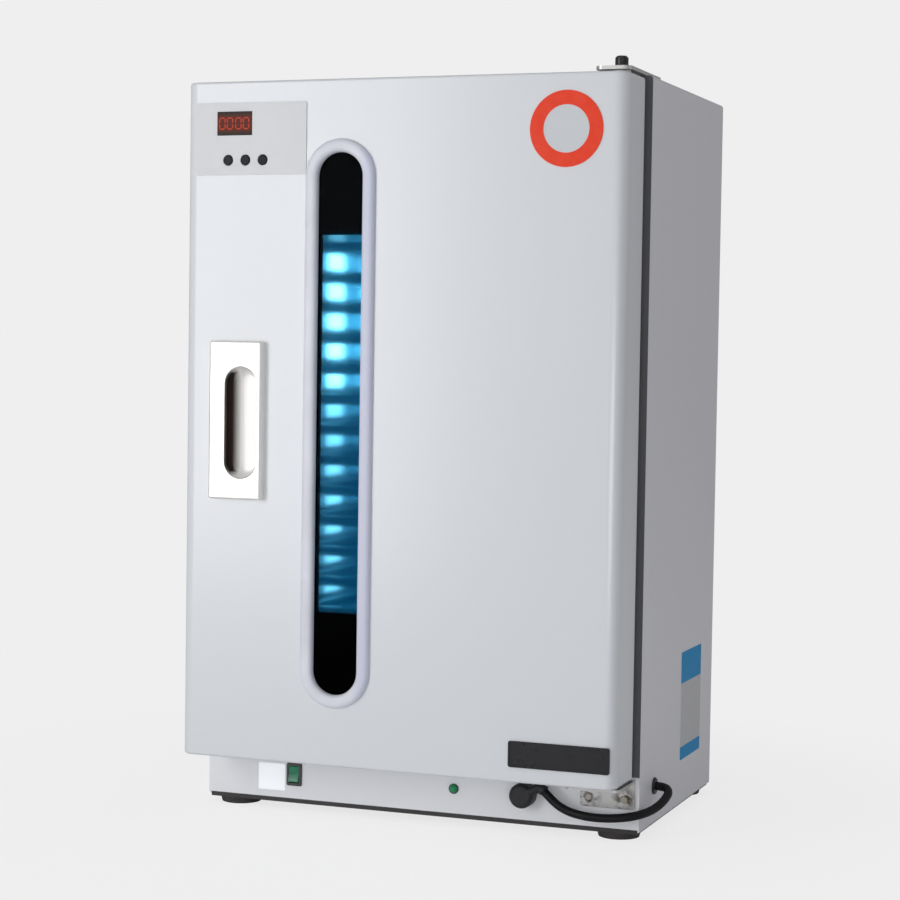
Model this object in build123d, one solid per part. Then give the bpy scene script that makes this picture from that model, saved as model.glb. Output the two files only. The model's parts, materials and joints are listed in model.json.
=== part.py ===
from build123d import *
import os
from math import pi, radians, tan

# Ultraviolet sterilizer cabinet with one hinged door and a stack of sliding trays.
# Millimetres, +Z up. The door faces -Y and its hinges are on the +X side.
# The origin is on the floor, under the middle of the cabinet and its door.

# Door
DOOR_WIDTH = 406.0
DOOR_HEIGHT = 600.0
DOOR_DEPTH = 53.0
DOOR_SHEET = 1.2
DOOR_EDGE_RADIUS = 11.0
DOOR_TOP_RADIUS = 2.5
INNER_PANEL_FLANGE = 12.0
DISH_MARGIN = 34.0
DISH_DEPTH = 6.0
DISH_RADIUS = 22.0
DISH_TAPER = 35.0

# Seal between door and cabinet
SEAL_GAP = 12.5
SEAL_RUNNING_GAP = 0.5
SEAL_INSET = 11.0
SEAL_BAND = 12.0
SEAL_BASE_BAND = 7.0
SEAL_BASE_DEPTH = 3.0
SEAL_EDGE_RADIUS = 2.5
SEAL_CORNER_RADIUS = 8.0

# Cabinet body
SIDE_MARGIN = 3.5
PLINTH_HEIGHT = 48.0
PLINTH_LIFT = 2.2
TOP_GAP = 3.0
BODY_DEPTH = 250.0
SHELL_SHEET = 1.5
SHELL_BEND = 3.0
REAR_FLANGE = 12.0
RAIL_DROP = 4.0
PAN_FLANGE = 14.0
PAN_LIP = 2.2
SHEET_FIT = 0.2
REAR_PROUD = 2.5

# Chamber
LINER_SHEET = 1.2
LINER_FLANGE = 12.0
CHAMBER_SIDE_MARGIN = 27.0
CHAMBER_END_MARGIN = 24.0
REAR_CAVITY = 22.0

# Trays and racks
TRAY_COUNT = 13
TRAY_PITCH = 27.8
TRAY_TOP_SPACE = 113.0
TRAY_HEIGHT = 9.5
TRAY_SHEET = 1.0
TRAY_RIM = 10.0
TRAY_FRONT_RIM = 8.0
TRAY_REAR_RIM = 5.0
TRAY_CORNER = 11.0
TRAY_DRAFT = 6.0
TRAY_LIP_DROP = 5.5
TRAY_SETBACK = 21.0
TRAY_REAR_PLAY = 2.5
TRAY_SIDE_PLAY = 1.0
TRAY_SEAT_GAP = 0.25
LAMP_BAY = 32.0
RACK_DEPTH = 14.0
RACK_POST = 12.0
RACK_POST_WALL = 1.6
RACK_POST_INSET = 18.0
RAIL_SHEET = 1.2
RAIL_LEDGE = 8.5
RAIL_UPSTAND = 6.0

# Lamps
LAMP_DIAMETER = 15.5
LAMP_CAP_DIAMETER = 16.2
LAMP_CAP_LENGTH = 12.0
LAMP_END_SPACE = 17.5
LAMP_FROM_BACK = 53.5
LAMP_PIN_DIAMETER = 2.4
LAMP_PIN_LENGTH = 6.5
LAMP_PIN_SPACING = 5.0
SOCKET_WIDTH = 22.0
SOCKET_LENGTH = 26.0
SOCKET_GRIP = 4.0
SOCKET_PLAY = 0.3
SOCKET_EDGE = 2.0

# Hinges
PIVOT_INSET = 13.0
PIN_RADIUS = 4.0
PIN_CLEARANCE = 0.05
PIN_REACH = 18.0
PIN_HEAD_RADIUS = 5.6
PIN_HEAD_HEIGHT = 9.0
PIN_HEAD_EDGE = 1.6
PIN_RIVET_RADIUS = 5.5
PIN_RIVET_HEIGHT = 2.0
BUSH_RADIUS = 6.0
BUSH_FLANGE_RADIUS = 8.0
BUSH_LENGTH = 20.0
BUSH_RUNNING_GAP = 0.3
BOTTOM_GAP = 2.0
HINGE_PLATE = 3.0
HINGE_PLATE_LEFT = 20.0
HINGE_PLATE_RIGHT = 11.0
HINGE_PLATE_NOSE = 12.0
HINGE_PLATE_TAIL = 44.0
HINGE_PLATE_SCREWS = (14.0, 34.0)
BRACKET_SHEET = 2.5
BRACKET_DROP = 26.0
BRACKET_LEFT = 36.0
BRACKET_BEND = 3.0
BRACKET_SCREW_SPACING = 32.0
BRACKET_SCREW_SHIFT = 4.0
BRACKET_SCREW_DROP = 17.0

# Window
WINDOW_FROM_LEFT = 150.0
WINDOW_WIDTH = 42.0
WINDOW_HEIGHT = 473.0
BEZEL_BAND = 11.8
BEZEL_PROUD = 5.0
BEZEL_ROUND = 4.4
BEZEL_NECK = 1.3
GLASS_THICKNESS = 3.0
GLASS_LAP = 4.0
LIT_HEIGHT = 331.0
SHROUD_SHEET = 1.5
SHROUD_LAP = 8.0
SHROUD_NECK = 8.0
SHROUD_FLARE = 38.0
SHROUD_FLARE_END = 15.0
SHROUD_REAR_LAP = 5.0

# Pull
PULL_FROM_LEFT = 54.2
PULL_RISE = 1.8
PULL_WIDTH = 50.4
PULL_HEIGHT = 140.0
PULL_PROUD = 9.0
PULL_EDGE = 2.4
PULL_MOUTH_SHIFT = 6.0
PULL_MOUTH_DROP = 1.9
PULL_MOUTH_WIDTH = 31.0
PULL_MOUTH_HEIGHT = 98.7
PULL_DEPTH = 18.0
PULL_WALL = 2.5
PULL_LIP = 4.5
PULL_UNDERCUT = 5.0
PULL_UNDERCUT_DEPTH = 14.0
PULL_FLOOR_RADIUS = 9.0
PULL_MOUTH_ROUND = 0.8

# Control panel, with the display and the buttons placed from its middle
PANEL_FROM_LEFT = 63.4
PANEL_FROM_TOP = 50.5
PANEL_WIDTH = 107.4
PANEL_HEIGHT = 63.5
PANEL_THICKNESS = 1.0
PANEL_CORNER = 2.5
DISPLAY_SHIFT = -15.4
DISPLAY_RISE = 13.5
DISPLAY_WIDTH = 34.0
DISPLAY_HEIGHT = 21.0
DISPLAY_LENS = 2.5
DISPLAY_PROUD = 0.4
BUTTON_SHIFTS = (-21.4, -4.7, 12.0)
BUTTON_DROP = 18.7
BUTTON_DIAMETER = 9.0
BUTTON_PLAY = 0.4
BUTTON_PROUD = 2.0
BUTTON_EDGE = 0.6
BUTTON_COLLAR = 1.5
BUTTON_COLLAR_DEPTH = 1.0
BUTTON_STEM_RADIUS = 2.0
BUTTON_TRAVEL = 1.0
BUTTON_SEAT_GAP = 0.3
BOARD_SPACING = 12.0
BOARD_THICKNESS = 1.6
BOARD_WIDTH = 100.0
BOARD_HEIGHT = 55.0
BOARD_SPACER = 5.0
DISPLAY_MODULE_MARGIN = 1.0
KEY_SWITCH_SIZE = 6.0
KEY_SWITCH_HEIGHT = 4.0

# Badge and name plate
BADGE_FROM_RIGHT = 52.0
BADGE_FROM_TOP = 47.0
BADGE_DIAMETER = 64.0
BADGE_THICKNESS = 0.8
BADGE_FIELD_RADIUS = 20.0
BADGE_FIELD_DEPTH = 0.3
PLATE_FROM_RIGHT = 49.2
PLATE_RISE = 24.8
PLATE_WIDTH = 90.0
PLATE_HEIGHT = 22.5
PLATE_THICKNESS = 1.6
PLATE_RIM = 1.5
PLATE_FIELD_DEPTH = 0.5
PLATE_CORNER = 2.0

# Plinth fittings, with heights above the plinth's bottom edge
FITTING_Z = 24.5
SWITCH_FROM_LEFT = 86.5
SWITCH_WIDTH = 15.0
SWITCH_HEIGHT = 21.0
SWITCH_FLANGE = 1.8
SWITCH_FLANGE_EDGE = 0.6
SWITCH_BODY_MARGIN = 1.1
SWITCH_BODY_DEPTH = 14.0
SWITCH_WALL = 1.5
SWITCH_WELL = 10.0
SWITCH_CUTOUT_PLAY = 0.2
ROCKER_SIDE_PLAY = 0.2
ROCKER_END_PLAY = 0.25
ROCKER_TILT = 9.0
ROCKER_PIVOT_DEPTH = 1.0
ROCKER_VALLEY = 2.6
ROCKER_BACK = 3.0
ROCKER_PIN_RADIUS = 1.2
ROCKER_PIN_PLAY = 0.05
ROCKER_PIN_REACH = 1.0
BLADE_WIDTH = 4.8
BLADE_THICKNESS = 0.8
BLADE_LENGTH = 8.0
BLADE_SPACING = 7.0
LED_FROM_RIGHT = 170.8
LED_RADIUS = 3.6
LED_RIM = 1.0
LED_RIM_DEPTH = 1.2
LED_BODY_RADIUS = 3.0
LED_BODY_DEPTH = 12.0
LED_HOLE_PLAY = 0.1

# Link cable between the gland on the plinth and the grommet in the right side
CABLE_DIAMETER = 7.5
GLAND_X = 102.5
GLAND_RADIUS = 11.0
GLAND_RISE = 1.0
GLAND_PROUD = 15.0
GLAND_ROUND = 4.5
GLAND_NECK_RADIUS = 6.0
GLAND_NECK_DEPTH = 9.0
GLAND_NUT_DEPTH = 4.0
GLAND_ARM_RADIUS = 4.3
GLAND_BEND_RADIUS = 5.0
GLAND_COLLAR_RADIUS = 4.9
GLAND_COLLAR_LENGTH = 5.0
GLAND_COLLAR_BAND = 2.0
GROMMET_Y = 47.5
GROMMET_Z = 32.8
GROMMET_RADIUS = 7.5
GROMMET_PROUD = 2.0
GROMMET_NECK_RADIUS = 5.5
GROMMET_EDGE = 1.0
GROMMET_INNER = 3.0
ARC_SHARE = 0.45
HOLE_PLAY = 0.1
# The elbow of the gland, then the cable's route: x, y behind the body's front, z above its bottom
ELBOW_POINT = (120.1, -10.5, 35.0)
CABLE_ROUTE = (
    (133.0, -13.0, 23.2),
    (146.2, -16.0, 17.0),
    (161.0, -18.5, 14.6),
    (177.0, -19.5, 14.2),
    (192.4, -16.3, 14.8),
    (205.6, -7.6, 16.2),
    (214.8, 5.0, 18.6),
    (219.6, 18.6, 21.9),
    (222.0, 31.0, 26.0),
    (222.2, 41.0, 30.0),
    (216.8, GROMMET_Y, GROMMET_Z),
)

# Feet and screws
FOOT_HEIGHT = 5.8
FOOT_RADIUS = 19.5
FOOT_BASE_RADIUS = 18.0
FOOT_INSET_X = 23.5
FOOT_INSET_Y = 20.5
FOOT_COUNTERBORE = 3.3
FOOT_COUNTERBORE_PLAY = 0.6
SCREW_RADIUS = 1.9
SCREW_LENGTH = 7.0
SCREW_HEAD_RADIUS = 3.6
SCREW_HEAD_HEIGHT = 2.4
SCREW_HEAD_EDGE = 0.5
SCREW_HOLE_PLAY = 0.2

# Rear panel
VENT_LENGTH = 60.0
VENT_WIDTH = 5.0
VENT_PITCH = 12.0
VENT_ROWS = 4
VENT_COLUMNS = 2
VENT_COLUMN_PITCH = 150.0
VENT_FROM_TOP = 50.0
VENT_FROM_BOTTOM = 95.0
INLET_FROM_SIDE = 66.5
INLET_Z = 38.0
INLET_WIDTH = 27.0
INLET_HEIGHT = 20.0
INLET_FLANGE_WIDTH = 50.0
INLET_FLANGE_HEIGHT = 24.0
INLET_BODY_DEPTH = 22.0
INLET_WALL = 1.3
INLET_CHAMFER = 4.5
INLET_WELL = 17.0
INLET_PIN_LENGTH = 10.0
INLET_PIN_WIDTH = 4.0
INLET_PIN_THICKNESS = 2.0
INLET_PIN_SPACING = 14.0
INLET_PIN_OFFSET = 2.0
INLET_SCREW_SPACING = 40.0
REAR_SCREW_INSET = 6.0
REAR_SCREW_FROM_END = 30.0

# Parts that are out of sight
BALLAST_LENGTH = 150.0
BALLAST_WIDTH = 42.0
BALLAST_HEIGHT = 30.0
BALLAST_TAB = 14.0
BALLAST_EDGE = 3.0
BALLAST_X = -60.0
BALLAST_Y = 150.0
TERMINAL_POLES = 5
TERMINAL_PITCH = 10.0
TERMINAL_WIDTH = 22.0
TERMINAL_BASE = 8.0
TERMINAL_HEIGHT = 16.0
TERMINAL_BARRIER = 1.6
TERMINAL_X = 90.0
SENSOR_X = -100.0
SENSOR_LENGTH = 28.0
SENSOR_HEIGHT = 14.0
SENSOR_DEPTH = 9.0
SENSOR_SETBACK = 3.0
SENSOR_EDGE = 1.5
MAGNET_DEPTH = 8.0
MAGNET_HEIGHT = 12.0
MAGNET_FROM_TOP = 58.0

# Places worked out from the sizes above
BODY_WIDTH = DOOR_WIDTH + 2 * SIDE_MARGIN
BODY_HEIGHT = PLINTH_HEIGHT + DOOR_HEIGHT + TOP_GAP
TOTAL_DEPTH = PULL_PROUD + DOOR_DEPTH + SEAL_GAP + BODY_DEPTH + REAR_PROUD
HALF_BODY = BODY_WIDTH / 2
HALF_DOOR = DOOR_WIDTH / 2
Y_DOOR = PULL_PROUD - TOTAL_DEPTH / 2
Y_DOOR_BACK = Y_DOOR + DOOR_DEPTH
Y_BODY = Y_DOOR_BACK + SEAL_GAP
Y_BACK = Y_BODY + BODY_DEPTH
Z_PAN = FOOT_HEIGHT
Z_BODY = Z_PAN + PAN_LIP
Z_DOOR = Z_BODY + PLINTH_HEIGHT
Z_DOOR_TOP = Z_DOOR + DOOR_HEIGHT
Z_TOP = Z_BODY + BODY_HEIGHT
Z_RAIL = Z_DOOR - RAIL_DROP
Y_REAR = Y_BACK - SHELL_SHEET
Y_REAR_FLANGE = Y_REAR - SHELL_SHEET

HALF_CHAMBER = HALF_DOOR - CHAMBER_SIDE_MARGIN
Z_FLOOR = Z_DOOR + CHAMBER_END_MARGIN
Z_CEILING = Z_DOOR_TOP - CHAMBER_END_MARGIN
Y_CHAMBER = Y_BODY + SHELL_SHEET
Y_CHAMBER_BACK = Y_BACK - REAR_CAVITY

RACK_OUTER = HALF_CHAMBER - LAMP_BAY
HALF_TRAY = RACK_OUTER - RACK_DEPTH
HALF_PAN = HALF_TRAY - TRAY_RIM
Y_TRAY = Y_BODY + TRAY_SETBACK
Y_TRAY_BACK = Y_CHAMBER_BACK - TRAY_REAR_PLAY
RIM_HEIGHTS = [Z_CEILING - TRAY_TOP_SPACE - row * TRAY_PITCH for row in range(TRAY_COUNT)]

LAMP_X = RACK_OUTER + LAMP_BAY / 2
LAMP_Y = Y_CHAMBER_BACK - LAMP_FROM_BACK
PIVOT_X = HALF_DOOR - PIVOT_INSET
PIVOT_Y = Y_DOOR + DOOR_DEPTH / 2
Z_MIDDLE = Z_DOOR + DOOR_HEIGHT / 2
WINDOW_X = WINDOW_FROM_LEFT - HALF_DOOR
PULL_X = PULL_FROM_LEFT - HALF_DOOR
PULL_Z = Z_MIDDLE + PULL_RISE
PULL_MOUTH_X = PULL_X + PULL_MOUTH_SHIFT
PULL_MOUTH_Z = PULL_Z - PULL_MOUTH_DROP
PANEL_X = PANEL_FROM_LEFT - HALF_DOOR
PANEL_Z = Z_DOOR_TOP - PANEL_FROM_TOP
DISPLAY_X = PANEL_X + DISPLAY_SHIFT
DISPLAY_Z = PANEL_Z + DISPLAY_RISE
BUTTON_XS = [PANEL_X + shift for shift in BUTTON_SHIFTS]
BUTTON_Z = PANEL_Z - BUTTON_DROP
BADGE_X = HALF_DOOR - BADGE_FROM_RIGHT
BADGE_Z = Z_DOOR_TOP - BADGE_FROM_TOP
PLATE_X = HALF_DOOR - PLATE_FROM_RIGHT
PLATE_Z = Z_DOOR + PLATE_RISE
SWITCH_X = SWITCH_FROM_LEFT - HALF_BODY
LED_X = HALF_BODY - LED_FROM_RIGHT
INLET_X = INLET_FROM_SIDE - HALF_BODY
Z_FITTINGS = Z_BODY + FITTING_Z
Z_GLAND = Z_FITTINGS + GLAND_RISE
Y_DISH = Y_DOOR_BACK - DISH_DEPTH - DOOR_SHEET
Y_SHROUD = Y_DOOR + DOOR_SHEET + GLASS_THICKNESS
SCREW_HOLE_RADIUS = SCREW_RADIUS + SCREW_HOLE_PLAY
BRACKET_TOP = Z_DOOR - BOTTOM_GAP
BRACKET_SCREW_Z = BRACKET_TOP - BRACKET_SCREW_DROP
BRACKET_SCREW_RIGHT = PIVOT_X + BRACKET_SCREW_SHIFT
BRACKET_SCREW_XS = (BRACKET_SCREW_RIGHT - BRACKET_SCREW_SPACING, BRACKET_SCREW_RIGHT)
FOOT_XS = (FOOT_INSET_X - HALF_BODY, HALF_BODY - FOOT_INSET_X)
FOOT_YS = (Y_BODY + FOOT_INSET_Y, Y_BACK - FOOT_INSET_Y)
REAR_SCREW_RIGHT = HALF_BODY - SHELL_SHEET - REAR_SCREW_INSET
REAR_SCREW_XS = (-REAR_SCREW_RIGHT, REAR_SCREW_RIGHT)
REAR_SCREW_ZS = (Z_BODY + REAR_SCREW_FROM_END, (Z_BODY + Z_TOP) / 2, Z_TOP - REAR_SCREW_FROM_END)
INLET_SCREW_XS = (INLET_X - INLET_SCREW_SPACING / 2, INLET_X + INLET_SCREW_SPACING / 2)
GROMMET_CENTRE = (HALF_BODY, Y_BODY + GROMMET_Y, Z_BODY + GROMMET_Z)
CUT = 1.0


def block(xs, ys, zs):
    """A box between two values on each axis."""
    size = (xs[1] - xs[0], ys[1] - ys[0], zs[1] - zs[0])
    middle = (sum(xs) / 2, sum(ys) / 2, sum(zs) / 2)
    return Pos(*middle) * Box(*size)


def front_plane(x, y, z):
    """A plane that faces the viewer: its own y is up and its normal is -Y."""
    return Plane(origin=(x, y, z), x_dir=(1, 0, 0), z_dir=(0, -1, 0))


def plate_at(sketch, x, y, z, depth):
    """A sketch drawn on the front plane and carried back from y by depth."""
    return extrude(front_plane(x, y, z) * sketch, amount=-depth)


def rod(start, end, radius):
    """A round bar from one point to another."""
    axis = Vector(*end) - Vector(*start)
    return extrude(Plane(origin=start, z_dir=tuple(axis)) * Circle(radius), amount=axis.length)


def drill(x, y, z, radius, sheet):
    """An upright cutter that goes right through a sheet which has a face at this place."""
    return Pos(x, y, z) * Cylinder(radius, 2 * (sheet + CUT))


def upright_slot(height, width):
    """An obround that stands on end."""
    return SlotOverall(height, width, rotation=90)


def window_slot(grow):
    """The window's outline, wider by grow all round."""
    return upright_slot(WINDOW_HEIGHT + 2 * grow, WINDOW_WIDTH + 2 * grow)


def pull_cup(grow):
    """The outline of the pull's cup, about its mouth, with room for the undercut at its left."""
    height = PULL_MOUTH_HEIGHT + 2 * (PULL_WALL + grow)
    width = PULL_MOUTH_WIDTH + PULL_UNDERCUT + 2 * (PULL_WALL + grow)
    return Pos(-PULL_UNDERCUT / 2, 0) * upright_slot(height, width)


def door_form(inset, overrun):
    """The door's outer form, drawn in by inset and carried past its back by overrun."""
    half = HALF_DOOR - inset
    front = Y_DOOR + inset
    back = Y_DOOR_BACK + overrun
    outline = Pos(0, (front + back) / 2) * Rectangle(2 * half, back - front)
    outline = fillet(outline.vertices().group_by(Axis.Y)[0], DOOR_EDGE_RADIUS - inset)
    low = Z_DOOR + inset
    solid = extrude(Pos(0, 0, low) * outline, amount=DOOR_HEIGHT - 2 * inset)
    edges = solid.faces().sort_by(Axis.Z)[0].edges() + solid.faces().sort_by(Axis.Z)[-1].edges()
    rims = [edge for edge in edges if edge.center().Y < back - CUT / 2]
    return fillet(rims, DOOR_TOP_RADIUS - inset)


def door_skin():
    skin = door_form(0, 0) - door_form(DOOR_SHEET, CUT)
    front = Y_DOOR - CUT
    depth = DOOR_SHEET + 2 * CUT
    skin -= plate_at(window_slot(BEZEL_NECK + SHEET_FIT), WINDOW_X, front, Z_MIDDLE, depth)
    skin -= plate_at(pull_cup(SHEET_FIT), PULL_MOUTH_X, front, PULL_MOUTH_Z, depth)
    display = Rectangle(DISPLAY_WIDTH, DISPLAY_HEIGHT)
    skin -= plate_at(display, DISPLAY_X, front, DISPLAY_Z, depth)
    for x in BUTTON_XS:
        hole = Circle(BUTTON_DIAMETER / 2 + BUTTON_PLAY)
        skin -= plate_at(hole, x, front, BUTTON_Z, depth)
    for z in (Z_DOOR, Z_DOOR_TOP):
        skin -= drill(PIVOT_X, PIVOT_Y, z, BUSH_RADIUS + HOLE_PLAY, DOOR_SHEET)
    return skin


def door_inner_panel():
    half = HALF_DOOR - DOOR_SHEET - SHEET_FIT
    low = Z_DOOR + DOOR_SHEET + SHEET_FIT
    high = Z_DOOR_TOP - DOOR_SHEET - SHEET_FIT
    front = Y_DOOR_BACK - INNER_PANEL_FLANGE
    panel = block((-half, half), (front, Y_DOOR_BACK), (low, high))
    panel = fillet(panel.edges().filter_by(Axis.Y), DOOR_TOP_RADIUS)
    inner = half - DOOR_SHEET
    inner_zs = (low + DOOR_SHEET, high - DOOR_SHEET)
    panel -= block((-inner, inner), (front - CUT, Y_DOOR_BACK - DOOR_SHEET), inner_zs)
    width = DOOR_WIDTH - 2 * DISH_MARGIN
    height = DOOR_HEIGHT - 2 * DISH_MARGIN
    floor = front_plane(0, Y_DOOR_BACK, Z_MIDDLE)
    outer = RectangleRounded(width + 2 * DOOR_SHEET, height + 2 * DOOR_SHEET, DISH_RADIUS + DOOR_SHEET)
    inside = RectangleRounded(width, height, DISH_RADIUS)
    panel += extrude(floor * outer, amount=DISH_DEPTH + DOOR_SHEET, taper=DISH_TAPER)
    panel -= extrude(floor * inside, amount=DISH_DEPTH, taper=DISH_TAPER)
    mouth = Rectangle(WINDOW_WIDTH + 2 * SHROUD_FLARE, LIT_HEIGHT + 2 * SHROUD_FLARE_END)
    panel -= plate_at(mouth, WINDOW_X, Y_DISH - CUT, Z_MIDDLE, DOOR_SHEET + 2 * CUT)
    return panel


def seal_ring(band, near, depth, extra=0):
    """One band of the seal, centred on the seal's line."""
    shift = SEAL_INSET + (SEAL_BAND - band) / 2
    outer_width = DOOR_WIDTH - 2 * shift
    outer_height = DOOR_HEIGHT - 2 * shift
    outer = RectangleRounded(outer_width, outer_height, SEAL_CORNER_RADIUS)
    inner = Rectangle(outer_width - 2 * band, outer_height - 2 * band)
    return plate_at(outer - inner, 0, near, Z_MIDDLE, depth + extra)


def door_seal():
    head_depth = SEAL_GAP - SEAL_RUNNING_GAP - SEAL_BASE_DEPTH
    head = seal_ring(SEAL_BAND, Y_DOOR_BACK + SEAL_BASE_DEPTH, head_depth)
    head = fillet(head.faces().sort_by(Axis.Y)[-1].edges(), SEAL_EDGE_RADIUS)
    return head + seal_ring(SEAL_BASE_BAND, Y_DOOR_BACK, SEAL_BASE_DEPTH, CUT)


def window_bezel():
    outer = window_slot(BEZEL_BAND)
    inner = window_slot(0)
    ring = plate_at(outer - inner, WINDOW_X, Y_DOOR - BEZEL_PROUD, Z_MIDDLE, BEZEL_PROUD)
    ring = fillet(ring.faces().sort_by(Axis.Y)[0].edges(), BEZEL_ROUND)
    neck = window_slot(BEZEL_NECK) - inner
    return ring + plate_at(neck, WINDOW_X, Y_DOOR - CUT, Z_MIDDLE, DOOR_SHEET + CUT)


def window_glass():
    return plate_at(window_slot(GLASS_LAP), WINDOW_X, Y_DOOR + DOOR_SHEET, Z_MIDDLE, GLASS_THICKNESS)


def lit_outline(grow, flare, flare_end):
    return Rectangle(WINDOW_WIDTH + 2 * (grow + flare), LIT_HEIGHT + 2 * (grow + flare_end))


def shroud_form(grow, overrun):
    """The tunnel behind the glass: a straight neck, then a flare to the chamber side."""
    neck_end = Y_SHROUD + SHROUD_NECK
    neck = plate_at(lit_outline(grow, 0, 0), WINDOW_X, Y_SHROUD - overrun, Z_MIDDLE, SHROUD_NECK + overrun)
    near = front_plane(WINDOW_X, neck_end, Z_MIDDLE) * lit_outline(grow, 0, 0)
    far = front_plane(WINDOW_X, Y_DISH, Z_MIDDLE) * lit_outline(grow, SHROUD_FLARE, SHROUD_FLARE_END)
    form = neck + loft([near, far])
    if overrun:
        form += plate_at(
            lit_outline(grow, SHROUD_FLARE, SHROUD_FLARE_END), WINDOW_X, Y_DISH, Z_MIDDLE, overrun
        )
    return form


def window_shroud():
    shroud = plate_at(window_slot(SHROUD_LAP), WINDOW_X, Y_SHROUD, Z_MIDDLE, SHROUD_SHEET)
    shroud += shroud_form(SHROUD_SHEET, 0)
    rim = lit_outline(SHROUD_REAR_LAP, SHROUD_FLARE, SHROUD_FLARE_END)
    shroud += plate_at(rim, WINDOW_X, Y_DISH - SHROUD_SHEET, Z_MIDDLE, SHROUD_SHEET)
    return shroud - shroud_form(0, CUT)


def door_pull():
    """A flush pull: a proud plate, a scooped mouth and an undercut for the fingers at its left."""
    x, z = PULL_MOUTH_X, PULL_MOUTH_Z
    face = Y_DOOR - PULL_PROUD
    outline = RectangleRounded(PULL_WIDTH, PULL_HEIGHT, PULL_EDGE)
    body = plate_at(outline, PULL_X, face, PULL_Z, PULL_PROUD)
    body = fillet(body.faces().sort_by(Axis.Y)[0].edges(), PULL_EDGE)
    body += plate_at(pull_cup(0), x, Y_DOOR - CUT, z, PULL_DEPTH + PULL_WALL - PULL_PROUD + CUT)
    mouth = upright_slot(PULL_MOUTH_HEIGHT, PULL_MOUTH_WIDTH)
    well = plate_at(mouth, x, face, z, PULL_DEPTH)
    well = fillet(well.faces().sort_by(Axis.Y)[-1].edges(), PULL_FLOOR_RADIUS)
    body -= well
    rim = [edge for edge in body.faces().sort_by(Axis.Y)[0].inner_wires()[0].edges()]
    body = fillet(rim, PULL_MOUTH_ROUND)
    hook_outline = upright_slot(PULL_MOUTH_HEIGHT - 2 * PULL_UNDERCUT, PULL_MOUTH_WIDTH - PULL_FLOOR_RADIUS)
    hook_x = x - PULL_UNDERCUT - PULL_FLOOR_RADIUS / 2
    return body - plate_at(hook_outline, hook_x, face + PULL_LIP, z, PULL_UNDERCUT_DEPTH - PULL_LIP)


def control_panel():
    sketch = RectangleRounded(PANEL_WIDTH, PANEL_HEIGHT, PANEL_CORNER)
    sketch -= Pos(DISPLAY_X - PANEL_X, DISPLAY_Z - PANEL_Z) * Rectangle(DISPLAY_WIDTH, DISPLAY_HEIGHT)
    for x in BUTTON_XS:
        sketch -= Pos(x - PANEL_X, BUTTON_Z - PANEL_Z) * Circle(BUTTON_DIAMETER / 2 + BUTTON_PLAY)
    return plate_at(sketch, PANEL_X, Y_DOOR - PANEL_THICKNESS, PANEL_Z, PANEL_THICKNESS)


def display_window():
    front = Y_DOOR - PANEL_THICKNESS - DISPLAY_PROUD
    size = (DISPLAY_WIDTH - 2 * SHEET_FIT, DISPLAY_HEIGHT - 2 * SHEET_FIT)
    lens = plate_at(RectangleRounded(*size, DISPLAY_PROUD), DISPLAY_X, front, DISPLAY_Z, DISPLAY_LENS)
    return chamfer(lens.faces().sort_by(Axis.Y)[0].edges(), DISPLAY_PROUD / 2)


def control_board():
    y = Y_DOOR + DOOR_SHEET + BOARD_SPACING
    outline = RectangleRounded(BOARD_WIDTH, BOARD_HEIGHT, PANEL_CORNER)
    board = plate_at(outline, PANEL_X, y, PANEL_Z, BOARD_THICKNESS)
    spacer = Rectangle(BOARD_SPACER, BOARD_SPACER)
    reach = BOARD_SPACER / 2 + PANEL_CORNER / 2
    corner_x = BOARD_WIDTH / 2 - reach
    corner_z = BOARD_HEIGHT / 2 - reach
    for x in (-corner_x, corner_x):
        for rise in (-corner_z, corner_z):
            board += plate_at(spacer, PANEL_X + x, y - BOARD_SPACING, PANEL_Z + rise, BOARD_SPACING)
    lens_back = Y_DOOR - PANEL_THICKNESS - DISPLAY_PROUD + DISPLAY_LENS
    margin = 2 * DISPLAY_MODULE_MARGIN
    module = Rectangle(DISPLAY_WIDTH - margin, DISPLAY_HEIGHT - margin)
    board += plate_at(module, DISPLAY_X, lens_back, DISPLAY_Z, y - lens_back)
    for x in BUTTON_XS:
        key = Rectangle(KEY_SWITCH_SIZE, KEY_SWITCH_SIZE)
        board += plate_at(key, x, y - KEY_SWITCH_HEIGHT, BUTTON_Z, KEY_SWITCH_HEIGHT)
    return board


def panel_button(x):
    """A round cap with a collar behind the door skin and a stem to its key switch."""
    tip = Y_DOOR - BUTTON_PROUD
    collar = Y_DOOR + DOOR_SHEET + BUTTON_SEAT_GAP
    end = Y_DOOR + DOOR_SHEET + BOARD_SPACING - KEY_SWITCH_HEIGHT - BUTTON_TRAVEL - BUTTON_SEAT_GAP
    cap = plate_at(Circle(BUTTON_DIAMETER / 2), x, tip, BUTTON_Z, collar - tip)
    cap = chamfer(cap.faces().sort_by(Axis.Y)[0].edges(), BUTTON_EDGE)
    cap += plate_at(Circle(BUTTON_DIAMETER / 2 + BUTTON_COLLAR), x, collar, BUTTON_Z, BUTTON_COLLAR_DEPTH)
    return cap + plate_at(Circle(BUTTON_STEM_RADIUS), x, collar, BUTTON_Z, end - collar)


def name_plate():
    front = Y_DOOR - PLATE_THICKNESS
    outline = RectangleRounded(PLATE_WIDTH, PLATE_HEIGHT, PLATE_CORNER)
    body = plate_at(outline, PLATE_X, front, PLATE_Z, PLATE_THICKNESS)
    field = Rectangle(PLATE_WIDTH - 2 * PLATE_RIM, PLATE_HEIGHT - 2 * PLATE_RIM)
    return body - plate_at(field, PLATE_X, front, PLATE_Z, PLATE_FIELD_DEPTH)


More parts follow.
